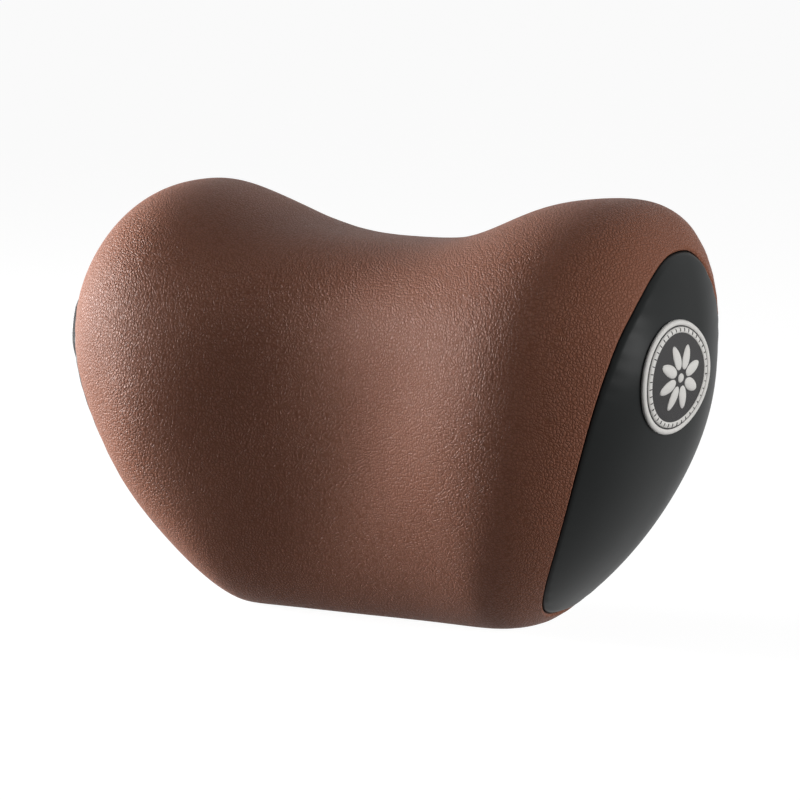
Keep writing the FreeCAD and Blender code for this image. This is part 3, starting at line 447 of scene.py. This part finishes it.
def pebbledLeather():
    material, tree, shader, coords = newMaterial("pebbledLeather", **{"Specular IOR Level": 0.12})
    place = coords.outputs["Object"]
    drift = noise(tree, place, leather["driftSize"], 1.0)
    bent = addNode(tree, "ShaderNodeVectorMath", {0: drift.outputs["Color"], 1: (leather["drift"] * mm,) * 3},
                   operation="MULTIPLY")
    moved = addNode(tree, "ShaderNodeVectorMath", {0: place, 1: bent}, operation="ADD")
    cells = addNode(tree, "ShaderNodeTexVoronoi", {"Vector": moved, "Scale": 1 / (leather["pebble"] * mm)},
                    feature="DISTANCE_TO_EDGE")
    pebble = ramp(tree, cells, 0.0, 0.28)
    fine = noise(tree, place, leather["fine"], 2.0)
    fine.inputs["Roughness"].default_value = 0.6
    height = addNode(tree, "ShaderNodeMix", {"Factor": 0.35, "A": pebble, "B": fine})
    tone = mixed(tree, noise(tree, place, leather["patch"], 3.0), leather["skin"], leather["worn"])
    grain = addNode(tree, "ShaderNodeMapRange", {"Value": height, "From Min": 0.1, "From Max": 0.6})
    skin = mixed(tree, grain, leather["crease"], tone)
    # near-black painted shade in the seam groove
    colour = seamShade(tree, skin, leather["seamPaintedShade"], 0.15, 1.1)
    rough = spread(tree, height, leather["roughness"] + 0.1, leather["roughness"] - 0.04)
    finishShader(tree, shader, colour, rough, height, leather["relief"])
    return material


# polyurethane-coated knit for the ends: near black, satin, smooth to the hand with a very fine knit showing
endCloth = dict(
    base="#191B1B", lifted="#1F2121", seamPaintedShade="#070808", stitch=0.55, patch=25, relief=0.012, roughness=0.42,
)


def coatedKnit():
    material, tree, shader, coords = newMaterial("coatedKnit", **{"Specular IOR Level": 0.12})
    place = coords.outputs["Object"]
    loops = addNode(tree, "ShaderNodeTexVoronoi", {"Vector": place, "Scale": 1 / (endCloth["stitch"] * mm),
                    "Randomness": 0.35}, feature="SMOOTH_F1")
    broad = noise(tree, place, endCloth["patch"], 3.0)
    tone = mixed(tree, broad, endCloth["base"], endCloth["lifted"])
    # near-black painted shade in the seam groove
    colour = seamShade(tree, tone, endCloth["seamPaintedShade"], 0.1, 0.8)
    rough = spread(tree, broad, endCloth["roughness"] - 0.04, endCloth["roughness"] + 0.05)
    finishShader(tree, shader, colour, rough, loops, endCloth["relief"])
    return material


# spacer knit for the back: charcoal polyester with rows of open eyelets, matt with a soft sheen; the eyelets
# are painted near black as the shade inside them
backCloth = dict(yarn="#3A3D3E", hole="#0E0F10", seamPaintedShade="#060606", eyelet=2.6, fuzz=0.35, relief=0.45)


def spacerKnit():
    material, tree, shader, coords = newMaterial(
        "spacerKnit", Roughness=0.8, **{"Sheen Weight": 0.25, "Sheen Roughness": 0.4})
    place = coords.outputs["Object"]
    turned = addNode(tree, "ShaderNodeMapping", {"Vector": place, "Rotation": (0, math.radians(45), 0),
                     "Scale": (1 / (backCloth["eyelet"] * mm),) * 3})
    split = addNode(tree, "ShaderNodeSeparateXYZ", {"Vector": turned})
    flat = addNode(tree, "ShaderNodeCombineXYZ", {"X": split.outputs["X"], "Y": split.outputs["Z"]})
    cells = addNode(tree, "ShaderNodeTexVoronoi", {"Vector": flat, "Scale": 1.0, "Randomness": 0.0},
                    voronoi_dimensions="2D")
    yarn = ramp(tree, cells, 0.2, 0.4)
    fuzz = noise(tree, place, backCloth["fuzz"], 2.0)
    height = addNode(tree, "ShaderNodeMix", {"Factor": 0.15, "A": yarn, "B": fuzz})
    # the eyelets take the near-black hole colour: painted shade inside them
    tone = mixed(tree, height, backCloth["hole"], backCloth["yarn"])
    # near-black painted shade in the seam groove
    colour = seamShade(tree, tone, backCloth["seamPaintedShade"], 0.1, 0.8)
    finishShader(tree, shader, colour, None, height, backCloth["relief"])
    return material


# threads laid side by side along one direction of the UV map: satin stitch, webbing, tape and cord
threads = dict(
    # the first colour of each is painted shade between the threads, the second the thread's own colour
    satinGrey=dict(paintedShade="#CBC8C4", light="#F4F2EE", pitch=0.42, along="V", relief=0.10, roughness=0.55),
    satinBlack=dict(paintedShade="#0A090A", light="#1C1A1B", pitch=0.42, along="V", relief=0.08, roughness=0.7),
    ribbedWebbing=dict(paintedShade="#121313", light="#2D2F30", pitch=1.25, along="V", relief=0.35, roughness=0.75),
    zipTape=dict(paintedShade="#141516", light="#2A2C2D", pitch=0.7, along="V", relief=0.12, roughness=0.8),
    sewingThread=dict(paintedShade="#3A3B3C", light="#77797A", pitch=0.5, along="U", relief=0.05, roughness=0.6),
)


def laidThreads(name):
    # spun polyester or nylon: each thread is a half round of the wave, broken up by short fibres
    thread = threads[name]
    material, tree, shader, coords = newMaterial(
        name, Roughness=thread["roughness"], **{"Sheen Weight": 0.15, "Sheen Roughness": 0.35})
    split = addNode(tree, "ShaderNodeSeparateXYZ", {"Vector": coords.outputs["UV"]})
    lane = addNode(tree, "ShaderNodeMath", {0: split.outputs["X" if thread["along"] == "V" else "Y"],
                   1: math.pi / (thread["pitch"] * mm)}, operation="MULTIPLY")
    wave = addNode(tree, "ShaderNodeMath", {0: lane}, operation="SINE")
    rounded = addNode(tree, "ShaderNodeMath", {0: wave}, operation="ABSOLUTE")
    fibres = noise(tree, coords.outputs["Object"], 0.5, 2.0)
    height = addNode(tree, "ShaderNodeMix", {"Factor": 0.25, "A": rounded, "B": fibres})
    # darker down between the threads: painted shade in the grooves, the thread's own colour on the crowns
    colour = mixed(tree, height, thread["paintedShade"], thread["light"])
    finishShader(tree, shader, colour, None, height, thread["relief"])
    return material


# plain finishes: two near tones in soft patches, a fine surface texture and its gloss, sizes in millimetres
finishes = dict(
    # acrylonitrile butadiene styrene, injection moulded in a spark-eroded tool: even, half matt
    mouldedAbsCasing=dict(
        slot="casing_plastic", tones=("#C9C8C3", "#D6D5D1"), grain=0.5, relief=0.02, roughness=0.5),
    mouldedAbsPod=dict(
        slot="bezel_plastic", tones=("#17181A", "#1F2022"), grain=0.45, relief=0.02, roughness=0.42),
    mouldedAbsButton=dict(
        slot="button_plastic", tones=("#232427", "#2B2C2F"), grain=0.6, relief=0.01, roughness=0.3),
    padPrintedInk=dict(
        slot="", tones=("#D9DBDC", "#E4E5E6"), grain=0.5, relief=0.01, roughness=0.5),
    # nylon buckle plastic: tougher and slightly waxy
    mouldedNylonBuckle=dict(
        slot="buckle_plastic", tones=("#18191A", "#242526"), grain=0.8, relief=0.02, roughness=0.4),
    # acetal: white, waxy, made for sliding
    mouldedAcetal=dict(
        slot="gear_plastic", tones=("#E6E1D4", "#F0ECE2"), grain=0.9, relief=0.01, roughness=0.35),
    glassFilledNylonDisc=dict(
        slot="disc_plastic", tones=("#2E3032", "#3B3D40"), grain=0.5, relief=0.03, roughness=0.55),
    # soft rubbers: deep matt, fine dust in the texture
    mouldedSiliconeHead=dict(
        slot="massage_rubber", tones=("#C98A5E", "#D4966A"), grain=0.7, relief=0.02, roughness=0.6),
    mouldedRubberGrommet=dict(
        slot="grommet_rubber", tones=("#121212", "#1B1B1B"), grain=0.5, relief=0.02, roughness=0.7),
    opalAcrylicRing=dict(
        slot="light_plastic", tones=("#CFE3EA", "#DCEBF0"), grain=1.5, relief=0.005, roughness=0.25),
    # polyurethane foam, cut and glued: open cells
    cutFoam=dict(
        slot="foam", tones=("#B9B7A8", "#E4E2D6"), grain=1.1, relief=0.5, roughness=0.95, cells=True),
    linerMesh=dict(
        slot="mesh_cloth", tones=("#101011", "#2E2F31"), grain=1.3, relief=0.3, roughness=0.85, cells=True),
    shrinkWrap=dict(
        slot="battery_wrap", tones=("#1D4E8F", "#2359A0"), grain=6.0, relief=0.05, roughness=0.3),
    solderMask=dict(
        slot="board_green", tones=("#0E4A2B", "#155C37"), grain=2.5, relief=0.01, roughness=0.35),
    epoxyPackage=dict(
        slot="component_black", tones=("#151516", "#202022"), grain=0.4, relief=0.01, roughness=0.5),
    wireSleeve=dict(
        slot="wire_red", tones=("#A31C17", "#B5251F"), grain=2.0, relief=0.01, roughness=0.4),
    # metals: turned, drawn, stamped and plated
    platedSteel=dict(
        slot="steel", tones=("#A9ABAD", "#BFC1C3"), grain=0.6, relief=0.01, roughness=0.32, metal=True),
    drawnMotorCan=dict(
        slot="motor_steel", tones=("#9A9C9E", "#B0B2B4"), grain=0.5, relief=0.01, roughness=0.38, metal=True),
    turnedBrass=dict(
        slot="brass", tones=("#B99445", "#C8A557"), grain=0.5, relief=0.01, roughness=0.3, metal=True),
    sinteredBronze=dict(
        slot="bronze", tones=("#8F6A43", "#A47B50"), grain=0.4, relief=0.03, roughness=0.45, metal=True),
    nickelShell=dict(
        slot="socket_metal", tones=("#B4B3AE", "#C6C5C0"), grain=0.7, relief=0.01, roughness=0.25,
        metal=True),
    diecastZinc=dict(
        slot="zip_metal", tones=("#55575A", "#6A6C6F"), grain=0.6, relief=0.02, roughness=0.34, metal=True),
    wovenNylonCoil=dict(
        slot="zip_nylon", tones=("#1B1C1D", "#2C2D2F"), grain=0.5, relief=0.02, roughness=0.4),
)


def plainFinish(name):
    finish = finishes[name]
    material, tree, shader, coords = newMaterial(name, Metallic=1.0 if finish.get("metal") else 0.0)
    place = coords.outputs["Object"]
    patches = noise(tree, place, 9, 2.0)
    if finish.get("cells"):
        texture = addNode(tree, "ShaderNodeTexVoronoi",
                          {"Vector": place, "Scale": 1 / (finish["grain"] * mm)})
        colour = mixed(tree, texture, *finish["tones"])
    else:
        texture = noise(tree, place, finish["grain"], 3.0)
        colour = mixed(tree, patches, *finish["tones"])
    rough = spread(tree, patches, finish["roughness"] - 0.05, finish["roughness"] + 0.05)
    finishShader(tree, shader, colour, rough, texture, finish["relief"])
    return material


# every node of the frame that stays in view gets the finish of its slot
slotOfFinish = {finish["slot"]: name for name, finish in finishes.items()}
made = {name: plainFinish(name) for name in finishes}
for node in nodes.values():
    slotName = node.data.materials[0].name.split(".")[0]
    if slotName in slotOfFinish:
        node.data.materials[0] = made[slotOfFinish[slotName]]
print("finishes made for the frame's nodes")

leatherSkin, endSkin, backSkin = pebbledLeather(), coatedKnit(), spacerKnit()
woven = {name: laidThreads(name) for name in threads}

# cover panels
podJoint = next(joint for joint in frame["joints"] if joint["name"] == "power_button_press")
podAxis = -np.array(podJoint["axis"])
podBody = podJoint["child"]
podCentre = sum(cadBoxOf("control_bezel")) / 2
podHole = 23.6

panels = {}
for name, (points, distance), skin, slot, node in (
        ("leather_front", middlePanel(False), leatherSkin, "brown_leather", "leather_cover"),
        ("cloth_back", middlePanel(True), backSkin, "rear_cloth", "rear_panel"),
        ("end_cloth_right", endPanel(1, None), endSkin, "grey_side_cloth", "side_panel_right"),
        ("end_cloth_left", endPanel(-1, (podCentre, podAxis, podHole)), endSkin, "grey_side_cloth",
         "side_panel_left")):
    shape = gridShape(points, closedColumns=name.startswith("end"), centre=form["middle"],
                      seamDistance=distance)
    panels[name] = makePiece(name, shape, skin, "root", [node])
    thicken(panels[name], sewing["wall"])
print("cover panels made")

# the right end's round patch: black ground, two pale satin rings, ticks between them and a rosette of petals;
# base is how high each piece starts above the ground's underside
badge = dict(
    rise=0.35, normalStep=0.5,
    ground=dict(radius=22.4, height=0.75, rim=0.4),
    outerRing=dict(radius=22.85, width=2.5, height=1.15, base=0.3),
    innerRing=dict(radius=19.9, width=2.5, height=0.75, base=0.55),
    ticks=dict(count=40, radius=19.9, length=1.7, width=0.5, height=0.35, base=1.22),
    petals=dict(count=8, start=3.6, length=11.0, width=5.4, height=0.75, base=0.6),
    heart=dict(radius=2.1, height=0.8),
)
badgeLow, badgeHigh = cadBoxOf("side_badge")
badgeY, badgeZ = (badgeLow + badgeHigh)[1:] / 2


def onEnd(across, up, rise):
    # a point of the patch: across and up from its middle on the end surface, raised along its normal
    y, z, step = badgeY + across, badgeZ + up, badge["normalStep"]
    x = sideX(y, z)
    normal = np.stack([np.ones_like(x), (sideX(y - step, z) - sideX(y + step, z)) / (2 * step),
                       (sideX(y, z - step) - sideX(y, z + step)) / (2 * step)], -1)
    normal /= np.linalg.norm(normal, axis=-1, keepdims=True)
    return np.stack([x, y, z], -1) + normal * np.asarray(rise)[..., None]


def patchDisc(radius, height, rim):
    # a round pad: out along its top, over a rounded rim and back under it
    low, high = badge["rise"], badge["rise"] + height
    bend = np.linspace(math.pi / 2, -math.pi / 2, 7)
    out = np.concatenate([radius * np.linspace(0.02, 0.95, 10), radius - rim + rim * np.cos(bend),
                          radius * np.linspace(0.95, 0.02, 5)])[:, None]
    height = np.concatenate([np.full(10, high), (low + high) / 2 + (high - low) / 2 * np.sin(bend),
                             np.full(5, low)])[:, None]
    turn = np.linspace(0, 2 * math.pi, 97)[:-1]
    across, up = out * np.cos(turn), out * np.sin(turn)
    uv = np.stack([across, up], -1) * mm
    return gridShape(onEnd(across, up, height + 0 * across), closedColumns=True, caps=True, uv=uv)


def patchRing(radius, width, height, base):
    # a cord of satin stitches: a half-round section carried round a circle
    base += badge["rise"]
    turn = np.linspace(0, 2 * math.pi, 145)[:-1, None]
    around = np.linspace(0, 2 * math.pi, 17)[:-1]
    out = radius + width / 2 * np.cos(around)
    rise = base + height * np.maximum(np.sin(around), -0.3) + 0 * turn
    uv = np.stack([turn * radius + 0 * around, out + 0 * turn], -1) * mm
    points = onEnd(out * np.cos(turn), out * np.sin(turn), rise)
    return gridShape(points, closedRows=True, closedColumns=True, uv=uv, centre=points.mean((0, 1)))


def patchPad(turn, start, length, width, height, base, columns=12, rows=14):
    # a petal or tick: an elliptical section whose width swells as the root of a sine from end to end
    base += badge["rise"]
    along = np.linspace(0.02, 0.98, rows)[:, None]
    around = np.linspace(0, 2 * math.pi, columns + 1)[:-1]
    half = width / 2 * np.sqrt(np.sin(math.pi * along ** 0.85))
    side = half * np.cos(around)
    out = start + length * along + 0 * around
    rise = base + height * np.sqrt(np.sin(math.pi * along)) * np.maximum(np.sin(around), -0.25)
    across = out * math.cos(turn) - side * math.sin(turn)
    up = out * math.sin(turn) + side * math.cos(turn)
    uv = np.stack([out, side], -1) * mm
    return gridShape(onEnd(across, up, rise), closedColumns=True, caps=True, uv=uv)


def sewPatch():
    petals, ticks, heart = badge["petals"], badge["ticks"], badge["heart"]
    wide = 2 * heart["radius"]
    motif = [patchPad(turn, petals["start"], petals["length"], petals["width"], petals["height"],
                      petals["base"])
             for turn in 2 * math.pi * (np.arange(petals["count"]) + 0.5) / petals["count"]]
    motif.append(patchPad(0.0, -heart["radius"], wide, wide, heart["height"], petals["base"]))
    marks = [patchPad(turn, ticks["radius"] - ticks["length"] / 2, ticks["length"], ticks["width"],
                      ticks["height"], ticks["base"], 6, 6)
             for turn in 2 * math.pi * np.arange(ticks["count"]) / ticks["count"]]
    for name, shape, colour, replaced in (
            ("badge_ground", patchDisc(**badge["ground"]), "satinBlack", ["side_badge"]),
            ("badge_outer_ring", patchRing(**badge["outerRing"]), "satinGrey", []),
            ("badge_inner_ring", patchRing(**badge["innerRing"]), "satinGrey", []),
            ("badge_rosette", joined(motif), "satinGrey", []),
            ("badge_ticks", joined(marks), "satinBlack", [])):
        makePiece(name, shape, woven[colour], "root", replaced)


sewPatch()
print("badge made")

# strap across the back, its sewn tabs and the rows of stitches that hold them
strap = dict(
    width=37.4, thick=1.8, lift=0.35, hump=3.2, humpWidth=9.0,  # hump: where it rises over the adjuster's bar
    tab=dict(thick=2.6, stitchIn=2.4, sunk=0.05),               # sunk: how deep the thread lies in the tab
    stitch=dict(length=2.6, gap=1.0, width=0.75, height=0.4),
)


def onBack(x, z, grow):
    # a point over the back at a height above it
    return np.stack([x, backY(x, z, grow), z], -1)


def bandOnBack(xs, zs, low, high, lengthwise=True):
    # a flat band that follows the back: a grid over its top, round both long edges and under it
    loop = np.concatenate([zs, zs[::-1]])[None, :]
    across = xs[:, None] + 0 * loop
    top = np.concatenate([np.ones(len(zs)), np.zeros(len(zs))])[None, :]
    edge = np.clip((1 - np.abs(2 * (loop - zs[0]) / (zs[-1] - zs[0]) - 1)) * 6, 0, 1)
    soft = 0.55 + 0.45 * np.sqrt(1 - (1 - edge) ** 2)
    middle, half = (low + high) / 2, (high - low) / 2
    grow = middle + half * soft * (2 * top - 1)
    uv = np.stack([loop + 0 * across, across] if lengthwise else [across, loop + 0 * across], -1) * mm
    return gridShape(onBack(across, loop + 0 * across, grow), closedColumns=True, caps=True, uv=uv)


def stitchRow(start, end, low):
    # thread lying on a surface from point to point (x, z): one short rounded pad for each stitch
    size = strap["stitch"]
    run = np.subtract(end, start)
    length = np.hypot(*run)
    count = max(int(length / (size["length"] + size["gap"])), 1)
    along = np.linspace(0, 1, 5)[:, None]
    around = np.linspace(0, 2 * math.pi, 7)[:-1]
    shapes = []
    for step in range(count):
        first = np.array(start) + run * (step + 0.15) / count
        reach = run / count * size["length"] / (size["length"] + size["gap"])
        side = np.array([-run[1], run[0]]) / length
        swell = np.sqrt(np.sin(math.pi * (0.06 + 0.88 * along)))
        offset = size["width"] / 2 * swell * np.cos(around)
        x = first[0] + reach[0] * along + side[0] * offset
        z = first[1] + reach[1] * along + side[1] * offset
        grow = low + size["height"] * swell * np.sin(around)
        uv = np.stack([along * np.hypot(*reach) + 0 * around, offset], -1) * mm
        shapes.append(gridShape(onBack(x, z, grow), closedColumns=True, caps=True, uv=uv))
    return shapes


def sewStrap():
    (x0, _, z0), (x1, _, z1) = cadBoxOf("back_strap")
    adjusterLow, adjusterHigh = cadBoxOf("strap_adjuster")
    bar = (adjusterLow[0] + adjusterHigh[0]) / 2
    middle = (z0 + z1) / 2
    xs = np.linspace(x0 + 0.1, x1 - 0.1, 181)
    zs = middle + strap["width"] / 2 * np.sin(np.linspace(-math.pi / 2, math.pi / 2, 15))
    low = strap["lift"] + strap["hump"] * np.exp(-((xs - bar) / strap["humpWidth"] * 2) ** 4)[:, None]
    webbing = makePiece("strap_webbing", bandOnBack(xs, zs, low, low + strap["thick"]),
                        woven["ribbedWebbing"], "root", ["back_strap"])
    path = onBack(xs, 0 * xs + middle, low[:, 0])
    tabs, threadsLaid = [], []
    (_, _, u0), (t1, _, u1) = cadBoxOf("strap_tabs")
    size = strap["tab"]
    high = strap["lift"] + size["thick"]
    for side in (-1, 1):
        inner, outer = side * (x1 + 0.3), side * (t1 - 0.1)
        xs = np.linspace(inner, outer, 15)
        zs = (u0 + u1) / 2 + (u1 - u0 - 0.4) / 2 * np.sin(np.linspace(-math.pi / 2, math.pi / 2, 21))
        tabs.append(bandOnBack(xs, zs, strap["lift"], high, lengthwise=False))
        a, b = inner + side * size["stitchIn"], outer - side * size["stitchIn"]
        c, d = u0 + size["stitchIn"], u1 - size["stitchIn"]
        for start, end in (((a, c), (a, d)), ((a, d), (b, d)), ((b, d), (b, c)), ((b, c), (a, c)),
                           ((a, c), (b, d)), ((a, d), (b, c))):
            threadsLaid += stitchRow(start, end, high - size["sunk"])
    sewnTabs = makePiece("strap_tabs_sewn", joined(tabs), woven["ribbedWebbing"], "root",
                         ["strap_tabs"])
    stitches = makePiece("strap_stitches", joined(threadsLaid), woven["sewingThread"], "root")


sewStrap()
print("strap made")

# zip: woven tape, two coils of nylon meeting in the middle, and the rows that sew the tape down
zipper = dict(
    pitch=1.5, coilWire=0.42, coilReach=1.65, coilHeight=0.75, coilDepth=0.55, meet=0.25, slant=0.16,
    lift=0.9, tapeEdge=1.3, tapeLift=0.4, tapeThick=0.45, tapeReach=6.0,
)


def zipLine(x, up, out):
    # the straight chain at the zip's own slope: out from it and up along it
    low, high = cadBoxOf("zip_teeth")
    z = (low[2] + high[2]) / 2
    lift = zipper["lift"]
    lean = math.atan((backY(0.0, z + 3, lift) - backY(0.0, z - 3, lift)) / 6)
    base = backY(0.0, z, lift)
    return np.stack([x, base + out * math.cos(lean) + up * math.sin(lean),
                     z - out * math.sin(lean) + up * math.cos(lean)], -1)


def sewZip():
    (x0, _, z0), (x1, _, z1) = cadBoxOf("zip_tape")
    c0, c1 = (corner[0] for corner in cadBoxOf("zip_teeth"))
    xs = np.linspace(x0 + 0.05, x1 - 0.05, 121)
    zs = np.linspace(z0 + 0.05, z1 - 0.05, 21)
    middle = (z0 + z1) / 2
    bothWays = np.concatenate([zs, zs[::-1]])
    toChain = np.clip(1 - np.abs(bothWays - middle) / zipper["tapeReach"], 0, 1)[None, :] ** 0.7
    top = np.concatenate([np.ones(21), np.zeros(21)])[None, :]
    loop = bothWays[None, :] + 0 * xs[:, None]
    across = xs[:, None] + 0 * loop
    chainLine = zipLine(across, loop - middle, -0.15 + 0 * loop)[..., 1]
    flatLine = backY(across, loop, zipper["tapeLift"])
    under = np.maximum(flatLine, chainLine * toChain + flatLine * (1 - toChain))
    points = np.stack([across, under + zipper["tapeThick"] * top, loop], -1)
    shape = gridShape(points, closedColumns=True, caps=True, centre=points.mean((0, 1)),
                      uv=np.stack([loop, across], -1) * mm)
    tape = makePiece("zip_tape_woven", shape, woven["zipTape"], "root", ["zip_tape"])
    turn = np.linspace(0, 2 * math.pi, 9)[:-1, None]
    ring = np.linspace(0, 2 * math.pi, 6)[:-1]
    reach, wire = zipper["coilReach"] / 2, zipper["coilWire"]
    coils = []
    for side in (-1, 1):
        for step in range(int((c1 - c0) / zipper["pitch"])):
            x = c0 + zipper["pitch"] * (step + 0.5 + 0.25 * side)
            up = side * (reach - zipper["meet"]) + (reach + wire * np.cos(ring)) * np.cos(turn)
            out = zipper["coilHeight"] + (zipper["coilDepth"] + wire * np.cos(ring)) * np.sin(turn)
            along = x + wire * np.sin(ring) + zipper["slant"] * side * np.cos(turn)
            points = zipLine(along + 0 * up, up, out)
            coils.append(gridShape(points, closedRows=True, closedColumns=True, centre=points.mean((0, 1))))
    coil = makePiece("zip_coil", joined(coils), made["wovenNylonCoil"], "root", ["zip_teeth"])
    rows = []
    for z in (z0 + zipper["tapeEdge"], z1 - zipper["tapeEdge"]):
        rows += stitchRow((x0 + 1.0, z), (x1 - 1.0, z), zipper["tapeLift"] + zipper["tapeThick"])
    stitches = makePiece("zip_stitches", joined(rows), woven["sewingThread"], "root")


sewZip()
print("zip made")

# power sign on the button: an open ring and a bar, printed proud
powerSign = dict(radius=4.6, gap=35, bar=(1.6, 6.6), width=1.0, height=0.22)


def paintPowerSign():
    corners = np.empty(len(nodes["power_button"].data.vertices) * 3)
    nodes["power_button"].data.vertices.foreach_get("co", corners)
    reach = ((corners.reshape(-1, 3) / mm - podCentre) @ podAxis).max()
    side = np.cross((0, 0, 1), podAxis)
    side /= np.linalg.norm(side)
    upright = np.cross(podAxis, side)

    def stroke(path):
        # a half-round line carried along a path on the button's face
        along = np.gradient(path, axis=0)
        along /= np.linalg.norm(along, axis=1, keepdims=True)
        offset = np.stack([-along[:, 1], along[:, 0]], -1)
        around = np.linspace(0, 2 * math.pi, 9)[:-1]
        flat = path[:, None] + offset[:, None] * (powerSign["width"] / 2 * np.cos(around))[:, None]
        rise = reach + powerSign["height"] * np.maximum(np.sin(around), -0.2)
        points = podCentre + flat[..., :1] * side + flat[..., 1:] * upright + rise[:, None] * podAxis
        return gridShape(points, closedColumns=True, caps=True)

    turn = np.radians(np.linspace(90 + powerSign["gap"], 450 - powerSign["gap"], 41))
    ring = powerSign["radius"] * np.stack([np.cos(turn), np.sin(turn)], -1)
    bar = np.stack([np.zeros(6), np.linspace(*powerSign["bar"], 6)], -1)
    makePiece("power_sign", joined([stroke(ring), stroke(bar)]), made["padPrintedInk"], podBody)


paintPowerSign()
print("power sign made")

# camera: from the right front, a little above, with a long lens
view = dict(
    turn=33.44, rise=6.89, distance=2238.5, lens=231.2, sensor=36, target=(0.0, 1.11, 100.0),
    shift=(0.00475, -0.0197), clipEnd=20,
)


def towards(turn, rise):
    # direction outwards at a turn round the object from the front, and a rise above the floor, in degrees
    turn, rise = math.radians(turn), math.radians(rise)
    return Vector((math.sin(turn) * math.cos(rise), -math.cos(turn) * math.cos(rise), math.sin(rise)))


def aimed(thing, middle, outwards, distance):
    # puts a camera or lamp in the scene at a distance in millimetres, looking back at the middle
    thing.location = (Vector(middle) + outwards * distance) * mm
    thing.rotation_mode = "QUATERNION"
    thing.rotation_quaternion = (-outwards).to_track_quat("-Z", "Y")
    bpy.context.scene.collection.objects.link(thing)


camera = bpy.data.objects.new("camera", bpy.data.cameras.new("camera"))
camera.data.sensor_width = view["sensor"]
camera.data.lens = view["lens"]
camera.data.shift_x, camera.data.shift_y = view["shift"]
camera.data.clip_end = view["clipEnd"]
aimed(camera, view["target"], towards(view["turn"], view["rise"]), view["distance"])
bpy.context.scene.camera = camera

# studio: white floor and backdrop for the eye, a large key low on the left with a weak one beside it, and a
# fill from the right that lights the end and its patch
studio = dict(floorHalf=6000.0, floorTone="#6E6E6E", floorGlow=0.95, room=0.03, aim=(0, 0, 90))
lamps = dict(
    key=dict(turn=-80, rise=3, distance=1500, size=(700, 900), power=78),
    low=dict(turn=-45, rise=1, distance=1500, size=(700, 700), power=8),
    fill=dict(turn=96, rise=6, distance=1500, size=(700, 900), power=20),
)


def areaLamp(name, turn, rise, distance, size, power):
    # a rectangular softbox
    data = bpy.data.lights.new(name, "AREA")
    data.shape = "RECTANGLE"
    data.size, data.size_y = size[0] * mm, size[1] * mm
    data.energy = power
    aimed(bpy.data.objects.new(name, data), studio["aim"], towards(turn, rise), distance)


for name, lamp in lamps.items():
    areaLamp(name, **lamp)


def seenShare(tree):
    # 1 for rays from the eye and for reflections and clear materials, which show the white studio too
    path = addNode(tree, "ShaderNodeLightPath")
    shiny = addNode(tree, "ShaderNodeMath", {0: path.outputs["Is Glossy Ray"],
                    1: path.outputs["Is Transmission Ray"]}, operation="ADD")
    return addNode(tree, "ShaderNodeMath", {0: path.outputs["Is Camera Ray"], 1: shiny}, operation="ADD",
                   use_clamp=True)


world = bpy.data.worlds.new("studio")
world.use_nodes = True
bpy.context.scene.world = world
tree = world.node_tree
backdrop = tree.nodes["Background"]
level = spread(tree, seenShare(tree), studio["room"], 1.0)
tree.links.new(level.outputs[0], backdrop.inputs["Strength"])
backdrop.inputs["Color"].default_value = (1, 1, 1, 1)

floorMaterial = bpy.data.materials.new("paintedFloor")
floorMaterial.use_nodes = True
tree = floorMaterial.node_tree
tree.nodes.remove(tree.nodes["Principled BSDF"])
paint = addNode(tree, "ShaderNodeBsdfDiffuse", {"Color": studio["floorTone"]})
glowLevel = spread(tree, seenShare(tree), 0.0, studio["floorGlow"])
glow = addNode(tree, "ShaderNodeEmission", {"Color": (1, 1, 1, 1), "Strength": glowLevel})
both = addNode(tree, "ShaderNodeAddShader", {0: paint, 1: glow})
tree.links.new(both.outputs[0], tree.nodes["Material Output"].inputs["Surface"])
half = studio["floorHalf"]
floorMesh = bpy.data.meshes.new("floor")
corners = np.array([(-half, -half, 0), (half, -half, 0), (half, half, 0), (-half, half, 0)]) * mm
floorMesh.from_pydata(corners.tolist(), [], [(0, 1, 2, 3)])
floorMesh.materials.append(floorMaterial)
floor = bpy.data.objects.new("floor", floorMesh)
bpy.context.scene.collection.objects.link(floor)
bpy.context.scene.view_settings.view_transform = "Standard"
print("camera, lamps and floor placed")
